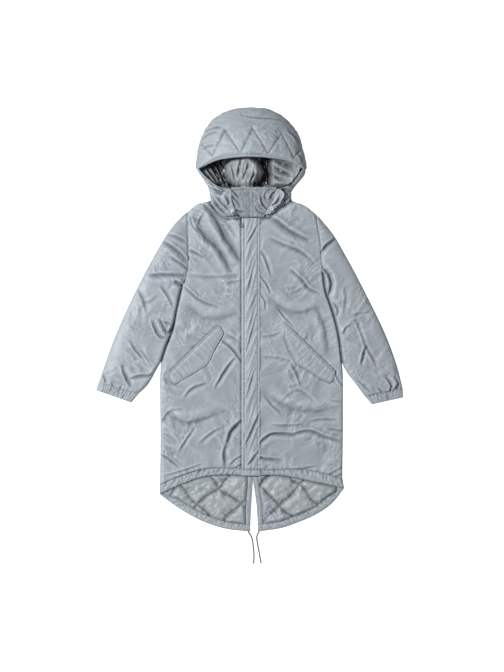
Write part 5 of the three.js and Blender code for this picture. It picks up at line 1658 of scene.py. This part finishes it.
def brim_lift(places, part, plan):
    """Padding of the brim between its zigzag stitches, and its turned face edge."""
    across, down = places * HOOD_SPAN, part * HOOD_REACH
    x, y = plan[..., 0], plan[..., 1]
    away = away_from(BRIM_ZIGZAG, x, y)
    stitched = np.exp(-((away / 4.2) ** 1.2))
    hem_line = bell(down - 7.0, 2.2)
    pulls = 2.2 * RIPPLES[2].at(x / 12, y / 40) * np.exp(-away / 14)
    hem_pulls = 1.3 * RIPPLES[4].at(across / 10, down / 30) * np.exp(-down / 14)
    flat_folds = 1.9 * RIPPLES[0].at(x / 48, y / 8.5) * smooth(RIPPLES[1].at(x / 70, y / 70), -0.2, 0.4)
    from_seam = (brim_seam(places) - part) * HOOD_REACH
    seam_pulls = 2.2 * RIPPLES[3].at(across / 12, down / 50) * np.exp(-from_seam / 12)
    padding = 4.2 * (1 - stitched) * smooth(down, 7, 18) - 1.8 * hem_line
    folds = crease_drop(BRIM_CREASES, x, y)
    return padding + pulls + hem_pulls + seam_pulls + flat_folds - folds + crumple(x, y, 0.2, 0.7) - 1.5


def crown_lift(places, part, plan):
    across, down = places * HOOD_SPAN, part * HOOD_REACH
    x, y = plan[..., 0], plan[..., 1]
    from_seam = (part - brim_seam(places)) * HOOD_REACH
    pulls = 2.0 * RIPPLES[5].at(across / 13, down / 50) * np.exp(-from_seam / 14)
    folds = 2.0 * RIPPLES[2].at(x / 48, y / 9)
    return 1.0 + pulls + folds + crumple(x, y, 0.3, 0.8)


class CoatHoodOperator(bpy.types.Operator):
    """Shapes the hood: quilted brim, centre panel, left crown panel and the back that lies under them"""

    bl_idname = "coat.make_hood"
    bl_label = "Hood shell"

    def execute(self, context):
        step = 0.9 * shape_settings().cloth_step
        columns = round(HOOD_SPAN * 1.1 / step)
        rows = round(HOOD_REACH / step)
        places = np.linspace(0, 1, columns + 1)
        end = np.where(brim_seam(places) < 0.9999, brim_seam(places) - 0.002, 1.0)
        hood_panel("hood_brim", places, np.zeros_like(places), end, rows, brim_lift)
        first, split, last = (CROWN_PLACES[k] for k in ("first", "split", "last"))
        mid = np.linspace(first + 0.004, last - 0.004, round(columns * 0.55))
        mid = np.sort(np.append(mid, [split - 0.00001, split + 0.00001]))
        lower = brim_seam(mid)
        upper = np.maximum(lower + 0.004, crown_split(mid) - np.where(mid < split, 0, 0.002))
        hood_panel("hood_centre", mid, lower, upper, round(rows * 0.45), crown_lift)
        end_places = np.linspace(split + 0.0004, last - 0.004, round(columns * 0.3))
        lower, upper = crown_split(end_places), np.ones_like(end_places)
        hood_panel("hood_crown_left", end_places, lower, upper, round(rows * 0.3), crown_lift)
        self.add_back()
        return {"FINISHED"}

    def add_back(self):
        foot = catmull_rom(HOOD_FOOT)
        neck = catmull_rom(BACK_NECK)
        half = len(foot) // 6
        rims = []
        for name, start, end in (("right", foot[:half][::-1], neck[:1]), ("left", foot[-half:], neck[-1:])):
            side = catmull_rom([row[1] for row in HOOD_SIDES[name][: COLLAR_FROM_ROW + 1]])
            rims.append(np.vstack([start, side[1:-1], end]))
        patch = patch_between(foot[half - 1 : -half + 1], neck, *rims, 2 * shape_settings().cloth_step)
        under_panel("hood_back", patch)


# Lower sides of the hood
def side_sections(name, rows):
    table = HOOD_SIDES[name]
    steps = np.arange(len(table))
    dense = np.linspace(0, len(table) - 1, 24 * (len(table) - 1) + 1)
    lines = [catmull_rom([row[k] for row in table], 24) for k in (0, 1)]
    edge, foot = (
        np.stack([np.interp(rows, dense, line[:, k]) for k in (0, 1)], axis=-1) for line in lines
    )
    rise = np.interp(rows, steps, [row[2] for row in table])
    wall = np.interp(rows, steps, [row[3] for row in table])
    return edge, foot, rise, wall


HOOD_SIDE_CREASES = {
    "right": {
        "hollow": ([(-120, 418), (-104, 408), (-90, 400)], 8, 20.0),
        "upper": ([(-150, 452), (-128, 432), (-112, 420)], 6, 6.0),
        "front": ([(-84, 396), (-74, 380), (-70, 362)], 6, 5.0),
        "neck_1": ([(-122, 388), (-106, 362), (-82, 342)], 6, 9.0),
        "neck_2": ([(-112, 396), (-94, 372), (-70, 350)], 5, 6.5),
    },
    "left": {
        "hollow": ([(96, 414), (112, 413), (128, 408)], 8, 17.0),
        "drop": ([(104, 416), (108, 398), (104, 378)], 7, 17.0),
        "upper": ([(152, 454), (134, 438), (120, 424)], 6, 6.0),
        "neck_1": ([(122, 396), (104, 370), (72, 348)], 6, 10.0),
        "neck_2": ([(108, 392), (92, 368), (66, 352)], 5, 8.0),
        "neck_3": ([(94, 396), (82, 374), (62, 358)], 5, 5.5),
    },
}


def side_lift(name, rows, part, plan):
    """Folds of the hood's lower side: along the face edge, and side by side with the neckline."""
    x, y = plan[..., 0], plan[..., 1]
    down = part * 62.0
    face_edge = 1.4 * bell(down - 7.0, 2.4)
    low = smooth(rows, 3.4, 5.2)
    folds = 2.2 * RIPPLES[1].at(rows * 1.9 + 0.6 * part, part * 1.1)
    gathers = 1.8 * RIPPLES[3].at(rows * 5.2, part * 2.0) * (1 - low)
    neck = 7.0 * RIPPLES[4].at(part * 6.5, rows * 0.9) * low * smooth(part, 0.05, 0.3)
    creases = crease_drop(HOOD_SIDE_CREASES[name], x, y)
    spot_x, spot_y = EYELET_SPOTS[name]
    free = smooth(np.hypot(x - spot_x, y - spot_y), 6, 14)
    wrinkles = folds + gathers + neck - creases + crumple(x * 1.4, y * 1.4, 0.8, 0.9)
    return 1.2 * np.sin(math.pi * part) - face_edge * free + wrinkles * free


class CoatHoodSidesOperator(bpy.types.Operator):
    """Shapes the lower sides of the hood, from its corners down to the neckline"""

    bl_idname = "coat.make_hood_sides"
    bl_label = "Hood sides"

    def execute(self, context):
        step = 0.7 * shape_settings().cloth_step
        for name in ("right", "left"):
            rows = np.linspace(0, len(HOOD_SIDES[name]) - 1, round(HOOD_SIDE_LENGTH / step))
            part = np.linspace(0, 1, round(HOOD_SIDE_REACH / step))[:, None]
            shape = (len(part), len(rows))
            *grid, wall = [np.broadcast_to(a, shape + a.shape[1:]) for a in side_sections(name, rows)]
            parts = np.broadcast_to(part, shape)
            plan = shell_points(*grid, parts, np.zeros(shape))
            lift = side_lift(name, np.broadcast_to(rows, shape), parts, plan)
            ends = np.minimum(parts, 1 - parts) * HOOD_SIDE_REACH
            lift = lift * smooth(ends, 0, 8) - 1.6 * rounded_drop(ends, 4)
            upper = shell_points(*grid, parts, lift)
            under = shell_points(*grid, parts, np.minimum(-wall * 0.75, lift - 1.5))
            made = closed_cloth(f"hood_side_{name}_cloth", upper, under, shell_cloth(), stride=3)
            stand_for(made, f"hood_side_{name}")
        return {"FINISHED"}


# Lining seen through the face opening
LINING_FOLDS = {
    "bulge_left": ([(-60, 500), (-58, 476), (-50, 436)], 6, 4.5),
    "bulge_mid": ([(-30, 512), (-36, 488), (-44, 452)], 6, 5.5),
    "bulge_line": ([(-8, 496), (-14, 474), (-26, 446)], 5, 4.5),
    "bulge_fork": ([(12, 466), (2, 446), (-6, 422)], 5, 10.0),
    "bulge_fan": ([(28, 470), (18, 450), (4, 432)], 6, 7.0),
    "bulge_low": ([(26, 452), (10, 434), (-2, 424)], 5, 8.0),
    "right_wall_1": ([(76, 508), (102, 498), (132, 490)], 8, 2.6),
    "right_wall_2": ([(70, 490), (98, 474), (126, 462)], 9, 3.4),
    "right_wall_3": ([(62, 466), (84, 452), (112, 448)], 8, 3.0),
    "right_wall_4": ([(70, 444), (84, 432), (104, 428)], 8, 2.6),
    "left_wall_1": ([(-128, 492), (-112, 466), (-96, 440)], 6, 6.0),
    "left_wall_2": ([(-140, 480), (-124, 458), (-108, 436)], 5, 5.0),
    "left_wall_3": ([(-112, 496), (-98, 468), (-86, 436)], 5, 5.0),
    "low_right": ([(30, 440), (44, 424), (66, 416)], 6, 8.0),
}


class CoatHoodLiningOperator(bpy.types.Operator):
    """Drapes the lining inside the hood: a crumpled bulge between two hollows, dark from real shadow and from
    painted shade
    """

    bl_idname = "coat.make_hood_lining"
    bl_label = "Hood lining"

    def execute(self, context):
        patch, edges = self.cut()
        x, y = patch.x, patch.y
        (centre_x, centre_y), (width, length) = LINING["bulge_centre"], LINING["bulge_size"]
        bulge = np.sqrt(((x - centre_x) / width) ** 2 + ((y - centre_y) / length) ** 2)
        bulge = bulge + 0.09 * RIPPLES[3].at(x / 20, y / 20)
        raised = (1 - smooth(bulge, 0.62, 1.12)) ** 0.8
        away = np.minimum(*[away_from(edge, x, y) for edge in edges])
        climb = (20 + 12 * bell(away, 30)) * smooth(x, 50, 74)
        climb += 16 * bell(away, 26) * smooth(-x, 98, 118)
        climb *= smooth(y, 412, 436)
        folds = crease_drop(LINING_FOLDS, x, y)
        wrinkles = 3.4 * RIPPLES[1].at(x / 12, y / 48) + 2.6 * RIPPLES[2].at(x / 8, y / 26)
        wrinkles += crumple(x * 1.6, y * 1.6, 1.2, 0.9)
        wrinkles *= 1 - 0.6 * smooth(x, 50, 76)
        height = 8 + 50 * raised + climb * (1 - raised) + wrinkles - folds
        height = np.maximum(SECOND_LAYER + 1.5, height)
        under = np.maximum(SECOND_LAYER, height - 5.0)
        under = np.minimum(under, height - 1.2)
        # Painted shade: some everywhere, and more the lower the lining lies inside the hood
        painted_hollow_shade = 0.5 + 1.5 * np.clip((40 - height) / 34, 0, 1)
        made = wall_from(patch, height, under, "hood_lining_cloth", lining_cloth(), extra_painted_shade=painted_hollow_shade)
        stand_for(made, "hood_lining")
        return {"FINISHED"}

    def cut(self):
        rows = np.linspace(0.5, COLLAR_FROM_ROW, 24)
        edges = [side_sections(name, np.linspace(0, COLLAR_FROM_ROW, 24))[0] for name in ("right", "left")]
        lines = []
        for name, start_x, inwards in (("right", -58, 1), ("left", 78, -1)):
            edge = side_sections(name, rows)[0] + [inwards * 3, 2.5]
            lines.append(np.vstack([[[start_x + inwards * 3, LINING["bottom"]]], edge[::-1]])[::-1])
        near, far = lines
        foot = inset(along(catmull_rom(HOOD_FOOT), 60), LINING["foot_inset"])[3:-3]
        arch = catmull_rom(np.vstack([near[:1], foot[::3], far[:1]]))
        bottom = straight(near[-1], far[-1], 4)
        step = 0.8 * shape_settings().cloth_step
        return patch_between(arch, bottom, near, far, step, gap=0), edges


# Collar
COLLAR_CREASES = {
    "right_top": ([(-66, 416), (-54, 404), (-38, 388)], 5, 3.6),
    "right_mid": ([(-60, 392), (-44, 376), (-34, 358)], 5, 2.8),
    "right_low": ([(-48, 352), (-34, 346), (-16, 344)], 5, 3.0),
    "left_bow": ([(31, 394), (36, 370), (56, 346)], 5, 4.0),
    "left_top": ([(82, 412), (66, 398), (60, 380)], 5, 3.6),
    "left_mid": ([(50, 408), (44, 392), (48, 376)], 5, 2.6),
    "left_low": ([(14, 362), (24, 346), (44, 338)], 5, 3.0),
}


class CoatCollarOperator(bpy.types.Operator):
    """Stands the collar up in its two halves, the left one with the end of the storm flap"""

    bl_idname = "coat.make_collar"
    bl_label = "Collar"

    def execute(self, context):
        for name in ("right", "left"):
            self.add_half(name)
        return {"FINISHED"}

    def add_half(self, name):
        outwards = -1 if name == "right" else 1
        edge = side_sections(name, np.linspace(COLLAR_FROM_ROW, 7, 20))[0]
        top_corner = [edge[0, 0] - outwards * 0.5, COLLAR["top_edge"]]
        bottom_corner = [edge[-1, 0] - outwards * 2, NECKLINE_Y]
        near = np.vstack([[top_corner], edge - [outwards * 0.5, 0], [bottom_corner]])
        centre_top = [COLLAR["overlap"], COLLAR["top_edge"]]
        centre_bottom = [COLLAR["overlap"], NECKLINE_Y]
        patch = patch_between(
            straight(top_corner, centre_top, 4), straight(bottom_corner, centre_bottom, 4),
            near, straight(centre_top, centre_bottom, 4), shape_settings().trim_step,
        )
        x, y = patch.x, patch.y
        slope = (COLLAR["top_rise"] - COLLAR["bottom_rise"]) / (COLLAR["top_edge"] - NECKLINE_Y)
        base = COLLAR["bottom_rise"] + slope * (y - NECKLINE_Y)
        top_groove = 0.9 * bell(COLLAR["top_edge"] - y - 9, 2.2)
        roll = 2.0 * rounded_drop(COLLAR["top_edge"] - y, 4)
        wave = 1.9 * RIPPLES[0].at(x / 15 + y / 60, y / 42) + 1.2 * RIPPLES[2].at((x - 0.5 * y) / 9, y / 26)
        band = np.zeros_like(x)
        if name == "left":
            band = 1.8 * smooth(COLLAR["band_end"] - x, 0, 3)
            band -= sum(0.9 * bell(x - seam, 2.0) for seam in COLLAR_STITCH_X)
        rim = smooth(patch.rim_distance(), 0, 5)
        wave += crumple(x * 1.4, y * 1.4, 0.2, 0.8) - crease_drop(COLLAR_CREASES, x, y)
        height = base + 0.6 + band + wave * (0.3 + 0.7 * rim) - top_groove - roll
        # Painted shade: some over the whole collar, which lies under the hood, and more near its rim
        shaded = 0.3 + 0.4 * np.exp(-patch.rim_distance() / 8)
        under = base - COLLAR["wall"] + 1.0
        sew_sheet(f"collar_{name}", patch, height, under, bulge=0.4, extra_painted_shade=shaded)


# Eyelets
class CoatEyeletsOperator(bpy.types.Operator):
    """Presses the two pale eyelets of the hood drawcord"""

    bl_idname = "coat.make_eyelets"
    bl_label = "Eyelets"

    def execute(self, context):
        for name, (row, across) in EYELET_PLACES.items():
            centre, normal = self.seat(name, row, across)
            self.add_ring(name, centre + normal * (EYELET["lift"] + EYELET["thickness"] / 2), normal)
        return {"FINISHED"}

    def seat(self, name, row, across):
        def at(r, a):
            *section, _ = side_sections(name, np.array([r]))
            lift = np.array([1.2 * math.sin(math.pi * a)])
            return shell_points(*section, np.array([a]), lift)[0]

        small = 0.02
        down = at(row + small, across) - at(row - small, across)
        normal = np.cross(down, at(row, across + small) - at(row, across - small))
        normal /= np.linalg.norm(normal)
        return at(row, across), normal * math.copysign(1, normal[2])

    def add_ring(self, name, centre, normal):
        half = EYELET["thickness"] / 2
        profile = []
        for turn in np.linspace(0, 2 * math.pi, 14, endpoint=False):
            middle = (EYELET["outer"] + EYELET["inner"]) / 2
            wide = (EYELET["outer"] - EYELET["inner"]) / 2
            profile.append((middle + wide * math.cos(turn), half * 1.5 * math.sin(turn)))
        side = np.cross(normal, [0.0, 1.0, 0.0])
        side /= np.linalg.norm(side)
        other = np.cross(normal, side)
        rounds = np.linspace(0, 2 * math.pi, 40, endpoint=False)
        points = np.array([
            [centre + (math.cos(a) * side + math.sin(a) * other) * r + normal * h for r, h in profile]
            for a in rounds
        ])
        index = np.arange(points.shape[0] * points.shape[1]).reshape(points.shape[:2])
        index = np.vstack([index, index[:1]])
        index = np.hstack([index, index[:, :1]])
        faces = grid_faces(index).tolist()
        metal = shared_material("pale_eyelet", scratched_eyelet)
        made = mesh_object(f"eyelet_{name}_ring", points.reshape(-1, 3), faces, metal)
        stand_for(made, f"eyelet_{name}")


# Stitches
def stitch_tree():
    """Geometry nodes: a short round stitch at even steps along every edge line."""
    tree = bpy.data.node_groups.new("stitch_line", "GeometryNodeTree")
    face = tree.interface
    face.new_socket(name="Geometry", in_out="INPUT", socket_type="NodeSocketGeometry")
    for name, value in (("Pitch", 0.0038), ("Length", 0.0027), ("Thickness", 0.0007)):
        socket = face.new_socket(name=name, in_out="INPUT", socket_type="NodeSocketFloat")
        socket.default_value = value
        socket.min_value = 0.0001
    face.new_socket(name="Thread", in_out="INPUT", socket_type="NodeSocketMaterial")
    face.new_socket(name="Geometry", in_out="OUTPUT", socket_type="NodeSocketGeometry")
    given = add_node(tree, "NodeGroupInput").outputs
    end = add_node(tree, "NodeGroupOutput")
    curve = add_node(tree, "GeometryNodeMeshToCurve", Mesh=given["Geometry"]).outputs["Curve"]
    steps = add_node(tree, "GeometryNodeResampleCurve", mode="LENGTH", Curve=curve, Length=given["Pitch"])
    tangent = add_node(tree, "GeometryNodeInputTangent").outputs["Tangent"]
    turn = add_node(tree, "FunctionNodeAlignRotationToVector", axis="Z", Vector=tangent)
    radius = maths(tree, "MULTIPLY", given["Thickness"], 0.5)
    stitch = add_node(tree, "GeometryNodeMeshCylinder", Vertices=6, Radius=radius, Depth=given["Length"])
    placed = add_node(
        tree, "GeometryNodeInstanceOnPoints", Points=steps.outputs["Curve"],
        Rotation=turn.outputs["Rotation"], Instance=stitch.outputs["Mesh"],
    )
    real = add_node(tree, "GeometryNodeRealizeInstances", Geometry=placed.outputs["Instances"])
    painted = add_node(tree, "GeometryNodeSetMaterial", Geometry=real.outputs["Geometry"])
    feed_named(tree, painted, Material=given["Thread"])
    feed_named(tree, end, Geometry=painted.outputs["Geometry"])
    return tree


def offset_line(line, gap):
    """A line moved sideways, to the left of its direction where the gap is above zero."""
    line = np.asarray(line, float)
    run = np.gradient(line, axis=0)
    run /= np.maximum(1e-9, np.linalg.norm(run, axis=1))[:, None]
    return line + np.stack([-run[:, 1], run[:, 0]], axis=1) * gap


class CoatStitchesOperator(bpy.types.Operator):
    """Sews the visible stitch lines over the finished pieces"""

    bl_idname = "coat.make_stitches"
    bl_label = "Stitches"

    def execute(self, context):
        context.view_layer.update()
        groups = {
            "stitches_front": self.front_lines(),
            "stitches_hood": self.hood_lines(),
            "stitches_sleeves": self.sleeve_lines(),
            "stitches_tail": self.tail_lines(),
        }
        tree = stitch_tree()
        for name, lines in groups.items():
            self.sew(context, name, lines, tree)
        return {"FINISHED"}

    def front_lines(self):
        top, bottom = PLACKET["top"], PLACKET["bottom"]
        lines = [straight([x, top - 2], [x, bottom + 22], 2) for x in PLACKET_STITCH_X]
        lines.append(straight([-26, bottom + 17], [29, bottom + 17], 2))
        for name in ("right", "left"):
            outline = flap_patch(name).outline
            if loop_area(outline) < 0:
                outline = outline[::-1]
            ring = inset(along(np.vstack([outline, outline[:1]]), 120)[:-1], 5.5)
            lines.append(np.vstack([ring, ring[:1]]))
            seam = SEAMS[name]["hem_seam"]
            side = 1 if name == "right" else -1
            lines.append(offset_line(along(seam, 60), side * 2.6))
            lines.append(offset_line(along(SEAMS[name]["neckline"], 30), side * 3.0))
        return lines

    def hood_lines(self):
        edge, foot = along(catmull_rom(HOOD_EDGE), 80), along(catmull_rom(HOOD_FOOT), 80)
        places = np.linspace(0, 1, 81)
        arch = (edge + (foot - edge) * 0.05)[4:-4]
        seam = (edge + (foot - edge) * np.sin(brim_seam(places) * math.pi / 2)[:, None])[26:63]
        lines = [arch, catmull_rom(seam)]
        lines += [straight(a, b, 6) for a, b in zip(BRIM_ZIGZAG[:-1], BRIM_ZIGZAG[1:])]
        top = COLLAR["top_edge"]
        lines.append(straight([-54, top - 9], [76, top - 9], 2))
        lines += [straight([x, top - 2], [x, NECKLINE_Y + 3], 2) for x in COLLAR_STITCH_X]
        return lines

    def sleeve_lines(self):
        lines = []
        for side in SIDES:
            inwards = 1 if side is RIGHT else -1
            seams = SEAMS[side["name"]]
            lines.append(offset_line(along(seams["armhole"], 40)[1:-1], inwards * 3.0))
            cuff = straight(seams["sleeve_inner"][-1], seams["sleeve_outer"][-1], 20)
            lines.append(offset_line(cuff, inwards * 3.0)[1:-1])
        return lines

    def tail_lines(self):
        lines = []
        for side in SIDES:
            inner, outer, inwards = tail_lines(side)
            ys = np.linspace(-512, inner[-1, 1] + 6, 30)
            for share in (0.3, 0.75):
                lines.append(np.stack([vent_x(side, ys) + inwards * FACING_WIDTH * share, ys], axis=1))
            lines.append((inner * 0.86 + outer * 0.14)[4:])
        return lines

    def sew(self, context, name, lines, tree):
        depsgraph = context.evaluated_depsgraph_get()
        points, edges = [], []
        for line in lines:
            count = max(3, round(length_of(line) / 2.4))
            previous = None
            for x, y in along(line, count) * MM:
                above = (x, y, STITCH_HEIGHTS["from"])
                hit, spot, *_ = context.scene.ray_cast(depsgraph, above, (0, 0, -1))
                if not hit or spot.z < STITCH_HEIGHTS["lowest"]:
                    previous = None
                    continue
                points.append((x, y, spot.z + STITCH_HEIGHTS["above"]))
                step = 0.0 if previous is None else abs(points[previous][2] - spot.z)
                if previous is not None and step < STITCH_HEIGHTS["largest_step"]:
                    edges.append((previous, len(points) - 1))
                previous = len(points) - 1
        path = bpy.data.meshes.new(name)
        path.from_pydata(points, edges, [])
        holder = bpy.data.objects.new(name, path)
        context.scene.collection.objects.link(holder)
        sewing = holder.modifiers.new("sewing", "NODES")
        sewing.node_group = tree
        trim = trim_settings()
        values = {
            "Pitch": trim.stitch_pitch, "Length": trim.stitch_length,
            "Thickness": trim.stitch_thickness, "Thread": shared_material("sewing_thread", twisted_thread),
        }
        for socket in tree.interface.items_tree:
            if socket.in_out == "INPUT" and socket.name in values:
                sewing[socket.identifier] = values[socket.name]
        context.view_layer.update()
        finished = bpy.data.meshes.new_from_object(holder.evaluated_get(context.evaluated_depsgraph_get()))
        finished.name = name
        holder.modifiers.clear()
        holder.data = finished
        bpy.data.meshes.remove(path)
        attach(holder, "root")


# Panel and registration
OPERATORS = (
    CoatStageOperator, CoatCordsOperator, CoatBacksOperator, CoatFrontsOperator, CoatHemOperator,
    CoatPlacketOperator, CoatFlapsOperator, CoatSleevesOperator, CoatCuffsOperator, CoatTailOperator,
    CoatHoodOperator, CoatHoodSidesOperator, CoatHoodLiningOperator, CoatCollarOperator, CoatEyeletsOperator,
    CoatStitchesOperator,
)
SETTINGS = (
    ("coat_cloth", CoatClothSettings), ("coat_shape", CoatShapeSettings),
    ("coat_trim", CoatTrimSettings), ("coat_stage", CoatStageSettings),
)


class CoatPanel(bpy.types.Panel):
    """Lists the coat's sizes, colours and pieces"""

    bl_idname = "VIEW3D_PT_coat"
    bl_label = "Fishtail parka"
    bl_space_type = "VIEW_3D"
    bl_region_type = "UI"
    bl_category = "Coat"

    def draw(self, context):
        layout = self.layout
        for name, _ in SETTINGS:
            group = getattr(context.scene, name)
            box = layout.box()
            for key in group.bl_rna.properties.keys():
                if key not in {"rna_type", "name"}:
                    box.prop(group, key)
        for operator in OPERATORS:
            layout.operator(operator.bl_idname)


def register():
    for name, group in SETTINGS:
        bpy.utils.register_class(group)
        setattr(bpy.types.Scene, name, PointerProperty(type=group))
    for operator in OPERATORS:
        bpy.utils.register_class(operator)
    bpy.utils.register_class(CoatPanel)


def unregister():
    bpy.utils.unregister_class(CoatPanel)
    for operator in reversed(OPERATORS):
        bpy.utils.unregister_class(operator)
    for name, group in reversed(SETTINGS):
        delattr(bpy.types.Scene, name)
        bpy.utils.unregister_class(group)


def main():
    register()
    for operator in OPERATORS:
        group, action = operator.bl_idname.split(".")
        result = getattr(getattr(bpy.ops, group), action)()
        if result != {"FINISHED"}:
            raise RuntimeError(f"{operator.bl_label} was not finished")


if __name__ == "__main__":
    main()
